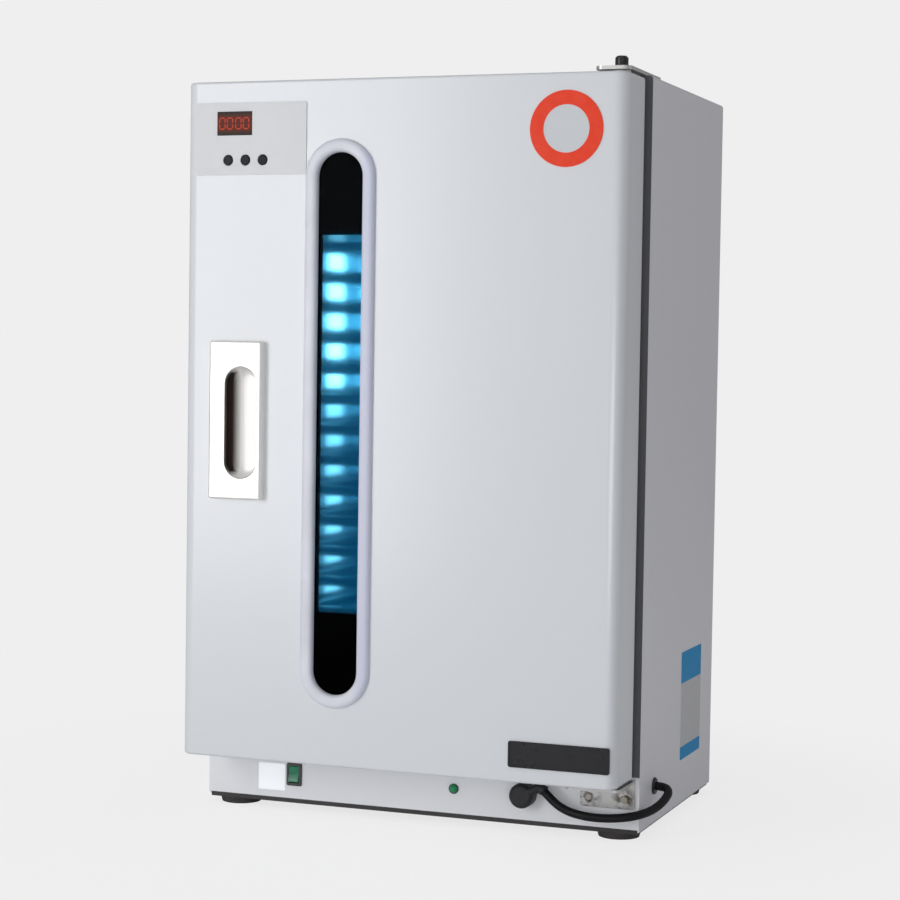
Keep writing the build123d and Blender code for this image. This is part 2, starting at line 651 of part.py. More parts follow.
def door_badge():
    """A round badge: a raised ring about a plain field."""
    front = Y_DOOR - BADGE_THICKNESS
    disc = plate_at(Circle(BADGE_DIAMETER / 2), BADGE_X, front, BADGE_Z, BADGE_THICKNESS)
    return disc - plate_at(Circle(BADGE_FIELD_RADIUS), BADGE_X, front, BADGE_Z, BADGE_FIELD_DEPTH)


def hinge_bush(z, away, gap):
    """A flanged sleeve in the door's end wall; away is -1 at the bottom and 1 at the top."""
    centre = (PIVOT_X, PIVOT_Y)
    inner_end = z - away * BUSH_LENGTH
    sleeve = rod((*centre, z), (*centre, inner_end), BUSH_RADIUS)
    sleeve += rod((*centre, z), (*centre, z + away * (gap - BUSH_RUNNING_GAP)), BUSH_FLANGE_RADIUS)
    bore_end = inner_end - away * CUT
    return sleeve - rod((*centre, z + away * gap), (*centre, bore_end), PIN_RADIUS + PIN_CLEARANCE)


def sensor_magnet():
    high = Z_DOOR_TOP - MAGNET_FROM_TOP
    back = Y_DOOR_BACK - DISH_DEPTH
    xs = (SENSOR_X - SENSOR_LENGTH / 2, SENSOR_X + SENSOR_LENGTH / 2)
    magnet = block(xs, (back, back + MAGNET_DEPTH), (high - MAGNET_HEIGHT, high))
    return fillet(magnet.faces().sort_by(Axis.Y)[-1].edges(), SENSOR_EDGE)


def cabinet_shell():
    body = block((-HALF_BODY, HALF_BODY), (Y_BODY, Y_BACK), (Z_BODY, Z_TOP))
    body = fillet(body.edges().filter_by(Axis.Y).group_by(Axis.Z)[-1], SHELL_BEND)
    half = HALF_BODY - SHELL_SHEET
    low = Z_BODY - CUT
    high = Z_TOP - SHELL_SHEET
    cavity = block((-half, half), (Y_CHAMBER, Y_REAR_FLANGE), (low, high))
    cavity = fillet(cavity.edges().filter_by(Axis.Y).group_by(Axis.Z)[-1], SHELL_BEND - SHELL_SHEET)
    body -= cavity
    body -= block((-half, half), (Y_REAR, Y_BACK + CUT), (low, high))
    inner = half - REAR_FLANGE
    body -= block((-inner, inner), (Y_REAR_FLANGE - CUT, Y_BACK), (low, high - REAR_FLANGE))
    front = (Y_BODY - CUT, Y_CHAMBER)
    body -= block((-HALF_CHAMBER, HALF_CHAMBER), (Y_BODY - CUT, Y_CHAMBER + CUT), (Z_FLOOR, Z_CEILING))
    body -= block((-HALF_BODY - CUT, HALF_BODY + CUT), front, (low, Z_RAIL))
    x, y, z = GROMMET_CENTRE
    body -= rod((x - SHELL_SHEET - CUT, y, z), (x + CUT, y, z), GROMMET_NECK_RADIUS + HOLE_PLAY)
    for tail in HINGE_PLATE_SCREWS:
        body -= drill(PIVOT_X, Y_BODY + tail, Z_TOP, SCREW_HOLE_RADIUS, SHELL_SHEET)
    for x in REAR_SCREW_XS:
        for z in REAR_SCREW_ZS:
            body -= rod((x, Y_REAR_FLANGE - CUT, z), (x, Y_BACK, z), SCREW_HOLE_RADIUS)
    return body


def plinth_panel():
    """The front under the door. It stops short of the shell's lower edge, so the pan shows below it."""
    panel = block((-HALF_BODY, HALF_BODY), (Y_BODY, Y_CHAMBER), (Z_BODY + PLINTH_LIFT, Z_RAIL))
    half = HALF_BODY - SHELL_SHEET - SHEET_FIT
    panel += block((-half, half), (Y_BODY, Y_CHAMBER + PAN_FLANGE), (Z_RAIL - SHELL_SHEET, Z_RAIL))
    front = Y_BODY - CUT
    depth = SHELL_SHEET + 2 * CUT
    margin = 2 * (SWITCH_BODY_MARGIN - SWITCH_CUTOUT_PLAY)
    cutout = Rectangle(SWITCH_WIDTH - margin, SWITCH_HEIGHT - margin)
    panel -= plate_at(cutout, SWITCH_X, front, Z_FITTINGS, depth)
    panel -= plate_at(Circle(LED_BODY_RADIUS + LED_HOLE_PLAY), LED_X, front, Z_FITTINGS, depth)
    panel -= plate_at(Circle(GLAND_NECK_RADIUS + HOLE_PLAY), GLAND_X, front, Z_GLAND, depth)
    for x in BRACKET_SCREW_XS:
        panel -= plate_at(Circle(SCREW_HOLE_RADIUS), x, front, BRACKET_SCREW_Z, depth)
    return panel


def base_pan():
    """A shallow pan whose bottom shows as a narrow lip under the shell and the plinth."""
    half = HALF_BODY - SHELL_SHEET - SHEET_FIT
    ys = (Y_CHAMBER, Y_REAR_FLANGE - SHEET_FIT)
    pan = block((-half, half), ys, (Z_PAN, Z_PAN + PAN_FLANGE))
    inner = (ys[0] + SHELL_SHEET, ys[1] - SHELL_SHEET)
    half -= SHELL_SHEET
    pan -= block((-half, half), inner, (Z_PAN + SHELL_SHEET, Z_PAN + PAN_FLANGE + CUT))
    for x in FOOT_XS:
        for y in FOOT_YS:
            pan -= drill(x, y, Z_PAN, SCREW_HOLE_RADIUS, SHELL_SHEET)
    return pan


def vent_centres():
    """Centres of the vent slots, in a lower and an upper group."""
    for base, step in ((Z_BODY + VENT_FROM_BOTTOM, VENT_PITCH), (Z_TOP - VENT_FROM_TOP, -VENT_PITCH)):
        for row in range(VENT_ROWS):
            for column in range(VENT_COLUMNS):
                x = (column - (VENT_COLUMNS - 1) / 2) * VENT_COLUMN_PITCH
                yield x, base + row * step


def rear_panel():
    half = HALF_BODY - SHELL_SHEET - SHEET_FIT
    high = Z_TOP - SHELL_SHEET - SHEET_FIT
    sketch = Rectangle(2 * half, high - Z_BODY)
    middle = (Z_BODY + high) / 2
    for x, z in vent_centres():
        sketch -= Pos(x, z - middle) * Rectangle(VENT_LENGTH, VENT_WIDTH)
    for x in REAR_SCREW_XS:
        for z in REAR_SCREW_ZS:
            sketch -= Pos(x, z - middle) * Circle(SCREW_HOLE_RADIUS)
    inlet = Z_BODY + INLET_Z - middle
    sketch -= Pos(INLET_X, inlet) * Rectangle(INLET_WIDTH + SHEET_FIT, INLET_HEIGHT + SHEET_FIT)
    for x in INLET_SCREW_XS:
        sketch -= Pos(x, inlet) * Circle(SCREW_HOLE_RADIUS)
    return plate_at(sketch, 0, Y_REAR, middle, SHELL_SHEET)


def chamber_liner():
    """Five sheets that meet edge to edge. All but the back one have a front flange."""
    half = HALF_CHAMBER
    low = Z_FLOOR - LINER_SHEET
    high = Z_CEILING + LINER_SHEET
    depth = (Y_CHAMBER, Y_CHAMBER_BACK)
    flange = (Y_CHAMBER, Y_CHAMBER + LINER_SHEET)
    reach = LINER_SHEET + LINER_FLANGE
    wide = half + LINER_SHEET
    sheets = [block((-wide, wide), (depth[1], depth[1] + LINER_SHEET), (low, high))]
    for out in (-1, 1):
        wall = out * half
        side = block(sorted((wall, wall + out * LINER_SHEET)), depth, (low, high))
        edge = sorted((wall, wall + out * reach))
        sheets.append(side + block(edge, flange, (low - LINER_FLANGE, high + LINER_FLANGE)))
    for wall, out in ((Z_FLOOR, -1), (Z_CEILING, 1)):
        level = block((-half, half), depth, sorted((wall, wall + out * LINER_SHEET)))
        sheets.append(level + block((-half, half), flange, sorted((wall, wall + out * reach))))
    return Compound(children=sheets)


def tray_rack(side):
    """Two channel posts with a folded rail on them under each tray; side is -1 at the left."""
    wall = HALF_TRAY + TRAY_SIDE_PLAY
    post_near = wall + RAIL_SHEET
    rack = []
    for y in (Y_TRAY + RACK_POST_INSET, Y_TRAY_BACK - RACK_POST_INSET - RACK_POST):
        post = block((post_near, RACK_OUTER), (y, y + RACK_POST), (Z_FLOOR, Z_CEILING))
        post -= block(
            (post_near + RACK_POST_WALL, RACK_OUTER + CUT),
            (y + RACK_POST_WALL, y + RACK_POST - RACK_POST_WALL),
            (Z_FLOOR - CUT, Z_CEILING + CUT),
        )
        rack.append(post)
    for rim in RIM_HEIGHTS:
        top = rim - TRAY_SHEET - TRAY_SEAT_GAP
        ys = (Y_TRAY + TRAY_FRONT_RIM, Y_TRAY_BACK)
        upstand = block((wall, post_near), ys, (top - RAIL_SHEET, top + RAIL_UPSTAND))
        rack.append(upstand + block((wall - RAIL_LEDGE, wall), ys, (top - RAIL_SHEET, top)))
    if side < 0:
        rack = [mirror(solid, about=Plane.YZ) for solid in rack]
    return Compound(children=rack)


def tray(rim):
    """A drafted pan hung by its rim, with a turned-down lip to pull it by."""
    pan_front = Y_TRAY + TRAY_FRONT_RIM
    pan_back = Y_TRAY_BACK - TRAY_REAR_RIM
    middle = (pan_front + pan_back) / 2
    length = pan_back - pan_front
    mouth = Plane(origin=(0, middle, rim), x_dir=(1, 0, 0), z_dir=(0, 0, -1))
    outline = RectangleRounded(2 * HALF_PAN, length, TRAY_CORNER)
    pan = extrude(mouth * outline, amount=TRAY_HEIGHT, taper=TRAY_DRAFT)
    rim_middle = (Y_TRAY + Y_TRAY_BACK) / 2
    rim_form = Rectangle(2 * HALF_TRAY, Y_TRAY_BACK - Y_TRAY)
    body = pan + extrude(Pos(0, rim_middle, rim - TRAY_SHEET) * rim_form, amount=TRAY_SHEET)
    lip_half = HALF_PAN - TRAY_FRONT_RIM / 2
    body += block((-lip_half, lip_half), (Y_TRAY, Y_TRAY + TRAY_SHEET), (rim - TRAY_LIP_DROP, rim))
    width = 2 * (HALF_PAN - TRAY_SHEET)
    hollow = RectangleRounded(width, length - 2 * TRAY_SHEET, TRAY_CORNER - TRAY_SHEET)
    return body - extrude(mouth * hollow, amount=TRAY_HEIGHT - TRAY_SHEET, taper=TRAY_DRAFT)


def lamp(side):
    """A straight tube with metal end caps and two pins at each end."""
    x = side * LAMP_X
    low = Z_FLOOR + LAMP_END_SPACE
    high = Z_CEILING - LAMP_END_SPACE
    tube = rod((x, LAMP_Y, low), (x, LAMP_Y, high), LAMP_DIAMETER / 2)
    for end, inward in ((low, 1), (high, -1)):
        tube += rod((x, LAMP_Y, end), (x, LAMP_Y, end + inward * LAMP_CAP_LENGTH), LAMP_CAP_DIAMETER / 2)
        for shift in (-LAMP_PIN_SPACING / 2, LAMP_PIN_SPACING / 2):
            y = LAMP_Y + shift
            tube += rod((x, y, end + inward), (x, y, end - inward * LAMP_PIN_LENGTH), LAMP_PIN_DIAMETER / 2)
    return tube


def lamp_sockets():
    """Four blocks, each with a round well for a cap and a narrower one for its two pins."""
    half_x, half_y = SOCKET_WIDTH / 2, SOCKET_LENGTH / 2
    pin_x = LAMP_PIN_DIAMETER / 2 + SOCKET_PLAY
    pin_y = pin_x + LAMP_PIN_SPACING / 2
    sockets = []
    for x in (-LAMP_X, LAMP_X):
        for wall, inward in ((Z_FLOOR, 1), (Z_CEILING, -1)):
            grip = wall + inward * LAMP_END_SPACE
            end = grip + inward * SOCKET_GRIP
            body = block((x - half_x, x + half_x), (LAMP_Y - half_y, LAMP_Y + half_y), sorted((wall, end)))
            body = chamfer(body.edges().filter_by(Axis.Z), SOCKET_EDGE)
            body -= rod((x, LAMP_Y, grip), (x, LAMP_Y, end + inward), LAMP_CAP_DIAMETER / 2 + SOCKET_PLAY)
            foot = grip - inward * (LAMP_PIN_LENGTH + SOCKET_PLAY)
            body -= block((x - pin_x, x + pin_x), (LAMP_Y - pin_y, LAMP_Y + pin_y), sorted((foot, end)))
            sockets.append(body)
    return Compound(children=sockets)


def top_hinge_plate():
    xs = (PIVOT_X - HINGE_PLATE_LEFT, PIVOT_X + HINGE_PLATE_RIGHT)
    ys = (PIVOT_Y - HINGE_PLATE_NOSE, Y_BODY + HINGE_PLATE_TAIL)
    outline = Pos(sum(xs) / 2, sum(ys) / 2) * Rectangle(xs[1] - xs[0], ys[1] - ys[0])
    outline = fillet(outline.vertices().group_by(Axis.Y)[0], HINGE_PLATE_NOSE / 2)
    plate = extrude(Pos(0, 0, Z_TOP) * outline, amount=HINGE_PLATE)
    plate -= drill(PIVOT_X, PIVOT_Y, Z_TOP, PIN_RADIUS + PIN_CLEARANCE, HINGE_PLATE)
    for tail in HINGE_PLATE_SCREWS:
        plate -= drill(PIVOT_X, Y_BODY + tail, Z_TOP, SCREW_HOLE_RADIUS, HINGE_PLATE)
    return plate


def top_hinge_pin():
    seat = Z_TOP + HINGE_PLATE
    head = rod((PIVOT_X, PIVOT_Y, seat), (PIVOT_X, PIVOT_Y, seat + PIN_HEAD_HEIGHT), PIN_HEAD_RADIUS)
    head = chamfer(head.edges().group_by(Axis.Z)[-1], PIN_HEAD_EDGE)
    return head + rod((PIVOT_X, PIVOT_Y, seat), (PIVOT_X, PIVOT_Y, Z_DOOR_TOP - PIN_REACH), PIN_RADIUS)


def bottom_hinge_bracket():
    low = BRACKET_TOP - BRACKET_DROP
    xs = (PIVOT_X - BRACKET_LEFT, HALF_DOOR)
    nose = PIVOT_Y - HINGE_PLATE_NOSE
    profile = Plane.YZ * make_face(
        Polyline(
            (Y_BODY, low),
            (Y_BODY, BRACKET_TOP),
            (nose, BRACKET_TOP),
            (nose, BRACKET_TOP - BRACKET_SHEET),
            (Y_BODY - BRACKET_SHEET, BRACKET_TOP - BRACKET_SHEET),
            (Y_BODY - BRACKET_SHEET, low),
            close=True,
        )
    )
    bracket = Pos(xs[0], 0, 0) * extrude(profile, amount=xs[1] - xs[0])
    shelf = bracket.edges().filter_by(Axis.Z).group_by(Axis.Y)[0]
    bracket = fillet(shelf, HINGE_PLATE_NOSE / 2)
    feet = bracket.edges().filter_by(Axis.Y).group_by(Axis.Z)[0]
    bracket = fillet(feet, BRACKET_BEND)
    bracket -= drill(PIVOT_X, PIVOT_Y, BRACKET_TOP, PIN_RADIUS + PIN_CLEARANCE, BRACKET_SHEET)
    for x in BRACKET_SCREW_XS:
        front = (x, Y_BODY - BRACKET_SHEET - CUT, BRACKET_SCREW_Z)
        bracket -= rod(front, (x, Y_BODY + CUT, BRACKET_SCREW_Z), SCREW_HOLE_RADIUS)
    return bracket


def bottom_hinge_pin():
    seat = BRACKET_TOP - BRACKET_SHEET
    rivet = rod((PIVOT_X, PIVOT_Y, seat - PIN_RIVET_HEIGHT), (PIVOT_X, PIVOT_Y, seat), PIN_RIVET_RADIUS)
    rivet = chamfer(rivet.edges().group_by(Axis.Z)[0], PIN_RIVET_HEIGHT / 2)
    return rivet + rod((PIVOT_X, PIVOT_Y, seat), (PIVOT_X, PIVOT_Y, Z_DOOR + PIN_REACH), PIN_RADIUS)


def screw(place, outward):
    """A hexagon-head screw whose head sits on place and whose shank goes in from there."""
    out = Vector(*outward)
    seat = Vector(*place)
    outline = Plane(origin=seat, z_dir=out) * RegularPolygon(SCREW_HEAD_RADIUS, 6)
    head = extrude(outline, amount=SCREW_HEAD_HEIGHT)
    crown = head.faces().sort_by(Axis(origin=seat, direction=out))[-1]
    head = chamfer(crown.edges(), SCREW_HEAD_EDGE)
    return head + rod(tuple(seat), tuple(seat - out * SCREW_LENGTH), SCREW_RADIUS)


def cabinet_screws():
    screws = [screw((PIVOT_X, Y_BODY + tail, Z_TOP + HINGE_PLATE), (0, 0, 1)) for tail in HINGE_PLATE_SCREWS]
    screws += [screw((x, Y_BODY - BRACKET_SHEET, BRACKET_SCREW_Z), (0, -1, 0)) for x in BRACKET_SCREW_XS]
    screws += [screw((x, Y_BACK, z), (0, 1, 0)) for x in REAR_SCREW_XS for z in REAR_SCREW_ZS]
    screws += [screw((x, y, FOOT_COUNTERBORE), (0, 0, -1)) for x in FOOT_XS for y in FOOT_YS]
    return Compound(children=screws)


def foot(x, y):
    """A tapered rubber foot with a counterbore for its screw."""
    base = Pos(x, y, 0) * Circle(FOOT_BASE_RADIUS)
    top = Pos(x, y, FOOT_HEIGHT) * Circle(FOOT_RADIUS)
    body = loft([base, top])
    body -= rod((x, y, -CUT), (x, y, FOOT_COUNTERBORE), SCREW_HEAD_RADIUS + FOOT_COUNTERBORE_PLAY)
    return body - rod((x, y, 0), (x, y, FOOT_HEIGHT + CUT), SCREW_HOLE_RADIUS)


def switch_frame():
    flange = RectangleRounded(SWITCH_WIDTH, SWITCH_HEIGHT, SWITCH_FLANGE)
    frame = plate_at(flange, SWITCH_X, Y_BODY - SWITCH_FLANGE, Z_FITTINGS, SWITCH_FLANGE)
    frame = chamfer(frame.faces().sort_by(Axis.Y)[0].edges(), SWITCH_FLANGE_EDGE)
    width = SWITCH_WIDTH - 2 * SWITCH_BODY_MARGIN
    height = SWITCH_HEIGHT - 2 * SWITCH_BODY_MARGIN
    frame += plate_at(Rectangle(width, height), SWITCH_X, Y_BODY, Z_FITTINGS, SWITCH_BODY_DEPTH)
    well = Rectangle(width - 2 * SWITCH_WALL, height - 2 * SWITCH_WALL)
    frame -= plate_at(well, SWITCH_X, Y_BODY - SWITCH_FLANGE - CUT, Z_FITTINGS, SWITCH_WELL + SWITCH_FLANGE)
    half = width / 2 + CUT
    pivot = (Y_BODY + ROCKER_PIVOT_DEPTH, Z_FITTINGS)
    frame -= rod((SWITCH_X - half, *pivot), (SWITCH_X + half, *pivot), ROCKER_PIN_RADIUS + ROCKER_PIN_PLAY)
    for rise in (-BLADE_SPACING / 2, BLADE_SPACING / 2):
        blade = Rectangle(BLADE_WIDTH, BLADE_THICKNESS)
        frame += plate_at(blade, SWITCH_X, Y_BODY + SWITCH_BODY_DEPTH, Z_FITTINGS + rise, BLADE_LENGTH)
    return frame


def switch_rocker():
    """A rocker cut from a round bar about its own pivot, so it clears its well at any tilt."""
    height = SWITCH_HEIGHT - 2 * SWITCH_BODY_MARGIN - 2 * SWITCH_WALL
    radius = height / 2 - ROCKER_END_PLAY
    width = SWITCH_WIDTH - 2 * SWITCH_BODY_MARGIN - 2 * SWITCH_WALL - 2 * ROCKER_SIDE_PLAY
    end = ROCKER_VALLEY + radius * tan(radians(ROCKER_TILT))
    outline = make_face(
        Polyline(
            (-ROCKER_VALLEY, 0),
            (-end, radius),
            (ROCKER_BACK, radius),
            (ROCKER_BACK, -radius),
            (-end, -radius),
            close=True,
        )
    )
    profile = Circle(radius) & outline
    body = extrude(Plane.YZ * profile, amount=width / 2, both=True)
    pin_reach = width / 2 + ROCKER_SIDE_PLAY + ROCKER_PIN_REACH
    body += rod((-pin_reach, 0, 0), (pin_reach, 0, 0), ROCKER_PIN_RADIUS)
    return Pos(SWITCH_X, Y_BODY + ROCKER_PIVOT_DEPTH, Z_FITTINGS) * Rot(-ROCKER_TILT, 0, 0) * body


def indicator_led():
    rim = plate_at(Circle(LED_RADIUS + LED_RIM), LED_X, Y_BODY - LED_RIM_DEPTH, Z_FITTINGS, LED_RIM_DEPTH)
    dome = Pos(LED_X, Y_BODY - LED_RIM_DEPTH, Z_FITTINGS) * Sphere(LED_RADIUS)
    front = (Y_BODY - LED_RIM_DEPTH - 2 * LED_RADIUS, Y_BODY - LED_RIM_DEPTH / 2)
    reach = 2 * LED_RADIUS
    dome &= block((LED_X - reach, LED_X + reach), front, (Z_FITTINGS - reach, Z_FITTINGS + reach))
    return rim + dome + plate_at(Circle(LED_BODY_RADIUS), LED_X, Y_BODY, Z_FITTINGS, LED_BODY_DEPTH)


def route_point(place):
    """A point of the cable's list, in the part's own frame."""
    x, y, z = place
    return Vector(x, Y_BODY + y, Z_BODY + z)


def cable_points():
    elbow = route_point(ELBOW_POINT)
    first = route_point(CABLE_ROUTE[0])
    start = elbow + (first - elbow).normalized() * GLAND_COLLAR_LENGTH
    x, y, z = GROMMET_CENTRE
    end = Vector(x + GROMMET_PROUD, y, z)
    return [start] + [route_point(place) for place in CABLE_ROUTE] + [end]


def cable_gland():
    """A round gland whose bent arm turns the cable down and to the right."""
    x, z = GLAND_X, Z_GLAND
    knob = plate_at(Circle(GLAND_RADIUS), x, Y_BODY - GLAND_PROUD, z, GLAND_PROUD)
    knob = fillet(knob.faces().sort_by(Axis.Y)[0].edges(), GLAND_ROUND)
    neck = plate_at(Circle(GLAND_NECK_RADIUS), x, Y_BODY, z, GLAND_NECK_DEPTH)
    nut = plate_at(RegularPolygon(GLAND_RADIUS, 6), x, Y_CHAMBER, z, GLAND_NUT_DEPTH)
    elbow = route_point(ELBOW_POINT)
    end = cable_points()[0]
    root = Vector(x, elbow.Y, z)
    path = FilletPolyline(root, elbow, end, radius=GLAND_BEND_RADIUS)
    arm = sweep(Plane(origin=root, z_dir=elbow - root) * Circle(GLAND_ARM_RADIUS), path=path)
    along = (end - elbow).normalized()
    collar = rod(tuple(end - along * GLAND_COLLAR_BAND), tuple(end), GLAND_COLLAR_RADIUS)
    return knob + neck + nut + arm + collar


def link_cable():
    points = cable_points()
    runs = [(b - a).length for a, b in zip(points, points[1:])]
    radii = []
    for index in range(1, len(points) - 1):
        turn = (points[index] - points[index - 1]).get_angle(points[index + 1] - points[index])
        radii.append(ARC_SHARE * min(runs[index - 1], runs[index]) / tan(radians(turn) / 2))
    path = FilletPolyline(*points, radius=radii)
    section = Plane(origin=points[0], z_dir=points[1] - points[0]) * Circle(CABLE_DIAMETER / 2)
    tube = sweep(section, path=path)
    expected = pi * CABLE_DIAMETER**2 / 4 * path.length
    print("cable radii", [round(value, 1) for value in radii])
    print(f"cable length {path.length:.1f}, volume {tube.volume:.0f} of {expected:.0f}")
    return tube


def side_grommet():
    x, y, z = GROMMET_CENTRE
    bead = rod((x, y, z), (x + GROMMET_PROUD, y, z), GROMMET_RADIUS)
    bead = chamfer(bead.faces().sort_by(Axis.X)[-1].edges(), GROMMET_EDGE)
    neck = rod((x - SHELL_SHEET, y, z), (x, y, z), GROMMET_NECK_RADIUS)
    inner = rod((x - SHELL_SHEET - GROMMET_INNER, y, z), (x - SHELL_SHEET, y, z), GROMMET_RADIUS)
    return bead + neck + inner


def power_inlet():
    z = Z_BODY + INLET_Z
    back = Y_BACK + REAR_PROUD
    flange = Rectangle(INLET_FLANGE_WIDTH, INLET_FLANGE_HEIGHT)
    inlet = plate_at(flange, INLET_X, Y_BACK, z, REAR_PROUD)
    inlet = fillet(inlet.edges().filter_by(Axis.Y), REAR_PROUD)
    front = Y_BACK - INLET_BODY_DEPTH
    inlet += plate_at(Rectangle(INLET_WIDTH, INLET_HEIGHT), INLET_X, front, z, INLET_BODY_DEPTH)
    well = Rectangle(INLET_WIDTH - 2 * INLET_WALL, INLET_HEIGHT - 2 * INLET_WALL)
    well = chamfer(well.vertices().group_by(Axis.Y)[-1], INLET_CHAMFER)
    inlet -= plate_at(well, INLET_X, back - INLET_WELL, z, INLET_WELL + CUT)
    for step, rise in ((-1, -INLET_PIN_OFFSET), (0, INLET_PIN_OFFSET), (1, -INLET_PIN_OFFSET)):
        pin = Rectangle(INLET_PIN_THICKNESS, INLET_PIN_WIDTH)
        x = INLET_X + step * INLET_PIN_SPACING / 2
        inlet += plate_at(pin, x, back - INLET_WELL, z + rise, INLET_PIN_LENGTH)
    for x in INLET_SCREW_XS:
        inlet -= plate_at(Circle(SCREW_HOLE_RADIUS), x, Y_BACK - CUT, z, REAR_PROUD + 2 * CUT)
    return inlet


def ballast():
    low = Z_PAN + SHELL_SHEET
    y = Y_BODY + BALLAST_Y
    half = BALLAST_LENGTH / 2
    reach = half + BALLAST_TAB
    ys = (y - BALLAST_WIDTH / 2, y + BALLAST_WIDTH / 2)
    body = block((BALLAST_X - half, BALLAST_X + half), ys, (low, low + BALLAST_HEIGHT))
    body = chamfer(body.edges().filter_by(Axis.X).group_by(Axis.Z)[-1], BALLAST_EDGE)
    return body + block((BALLAST_X - reach, BALLAST_X + reach), ys, (low, low + SHELL_SHEET))


def terminal_block():
    low = Z_PAN + SHELL_SHEET
    y = Y_BODY + BALLAST_Y
    length = TERMINAL_POLES * TERMINAL_PITCH
    ys = (y - TERMINAL_WIDTH / 2, y + TERMINAL_WIDTH / 2)
    left = TERMINAL_X - length / 2
    body = block((left, left + length), ys, (low, low + TERMINAL_BASE))
    for pole in range(TERMINAL_POLES + 1):
        x = left + pole * (length - TERMINAL_BARRIER) / TERMINAL_POLES
        body += block((x, x + TERMINAL_BARRIER), ys, (low, low + TERMINAL_HEIGHT))
    return body


def door_sensor():
    near = Y_CHAMBER + SENSOR_SETBACK
    xs = (SENSOR_X - SENSOR_LENGTH / 2, SENSOR_X + SENSOR_LENGTH / 2)
    body = block(xs, (near, near + SENSOR_DEPTH), (Z_CEILING - SENSOR_HEIGHT, Z_CEILING))
    return fillet(body.edges().group_by(Axis.Z)[0], SENSOR_EDGE)


def all_parts():
    """Every node of the cabinet, by name."""
    parts = {
        "cabinet_shell": cabinet_shell(),
        "plinth_panel": plinth_panel(),
        "base_pan": base_pan(),
        "rear_panel": rear_panel(),
        "chamber_liner": chamber_liner(),
        "rack_left": tray_rack(-1),
        "rack_right": tray_rack(1),
        "lamp_left": lamp(-1),
        "lamp_right": lamp(1),
        "lamp_sockets": lamp_sockets(),
        "top_hinge_plate": top_hinge_plate(),
        "top_hinge_pin": top_hinge_pin(),
        "bottom_hinge_bracket": bottom_hinge_bracket(),
        "bottom_hinge_pin": bottom_hinge_pin(),
        "cabinet_screws": cabinet_screws(),
        "switch_frame": switch_frame(),
        "switch_rocker": switch_rocker(),
        "indicator_led": indicator_led(),
        "cable_gland": cable_gland(),
        "link_cable": link_cable(),
        "side_grommet": side_grommet(),
        "power_inlet": power_inlet(),
        "ballast": ballast(),
        "terminal_block": terminal_block(),
        "door_sensor": door_sensor(),
        "door_skin": door_skin(),
        "door_inner_panel": door_inner_panel(),
        "door_seal": door_seal(),
        "window_bezel": window_bezel(),
        "window_glass": window_glass(),
        "window_shroud": window_shroud(),
        "door_pull": door_pull(),
        "control_panel": control_panel(),
        "display_window": display_window(),
        "control_board": control_board(),
        "name_plate": name_plate(),
        "door_badge": door_badge(),
        "top_hinge_bush": hinge_bush(Z_DOOR_TOP, 1, TOP_GAP),
        "bottom_hinge_bush": hinge_bush(Z_DOOR, -1, BOTTOM_GAP),
        "sensor_magnet": sensor_magnet(),
    }
    for name, x in zip(("button_left", "button_middle", "button_right"), BUTTON_XS):
        parts[name] = panel_button(x)
    for name, x, y in (
        ("foot_front_left", FOOT_XS[0], FOOT_YS[0]),
        ("foot_front_right", FOOT_XS[1], FOOT_YS[0]),
        ("foot_rear_left", FOOT_XS[0], FOOT_YS[1]),
        ("foot_rear_right", FOOT_XS[1], FOOT_YS[1]),
    ):
        parts[name] = foot(x, y)
    for row, rim in enumerate(RIM_HEIGHTS, start=1):
        parts[f"tray_{row:02d}"] = tray(rim)
    return parts


os.makedirs("parts", exist_ok=True)
for node, shape in all_parts().items():
    export_step(shape, f"parts/{node}.step")
    print(node, len(shape.solids()), round(shape.volume))
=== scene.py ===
# %% [markdown]
# # A bench-top ultraviolet cabinet
#
# The cabinet is a white steel box with one full-height door. Its shape comes ready made from a
# CAD model. This script gives that model its finishes, adds the few things that are printed,
# glued or flexible, and sets the light and the camera.
#
# Everything is in metres. The door faces -Y, and the hinges are on the +X side.

# %% Load the model
import json
import math

import bmesh
import bpy
from mathutils import Matrix, Vector


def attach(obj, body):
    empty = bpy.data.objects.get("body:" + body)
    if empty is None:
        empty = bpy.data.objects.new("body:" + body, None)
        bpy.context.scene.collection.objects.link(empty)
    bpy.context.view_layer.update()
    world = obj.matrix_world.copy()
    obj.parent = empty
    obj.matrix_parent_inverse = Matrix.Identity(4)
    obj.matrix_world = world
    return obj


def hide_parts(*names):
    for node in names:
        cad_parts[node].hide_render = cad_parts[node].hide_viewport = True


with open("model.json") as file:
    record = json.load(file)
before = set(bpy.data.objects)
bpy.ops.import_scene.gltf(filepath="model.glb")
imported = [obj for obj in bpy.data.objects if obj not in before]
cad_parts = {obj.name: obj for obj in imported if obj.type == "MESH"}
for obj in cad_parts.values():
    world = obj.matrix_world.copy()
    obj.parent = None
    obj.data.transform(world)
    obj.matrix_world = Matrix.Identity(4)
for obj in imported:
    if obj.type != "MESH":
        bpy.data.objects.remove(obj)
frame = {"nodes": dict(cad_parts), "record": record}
nodes = frame["nodes"]
scene = bpy.context.scene
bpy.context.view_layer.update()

# %% [markdown]
# ## The camera
#
# A product picture like this is taken from about two metres away with a long lens, so that
# upright edges stay nearly parallel. The camera stands to the right of the door at two thirds of
# the cabinet's height and leans by less than a degree. It could be aimed with a constraint, but
# the lean is easier to keep when the three axes are written out from the direction of the view.

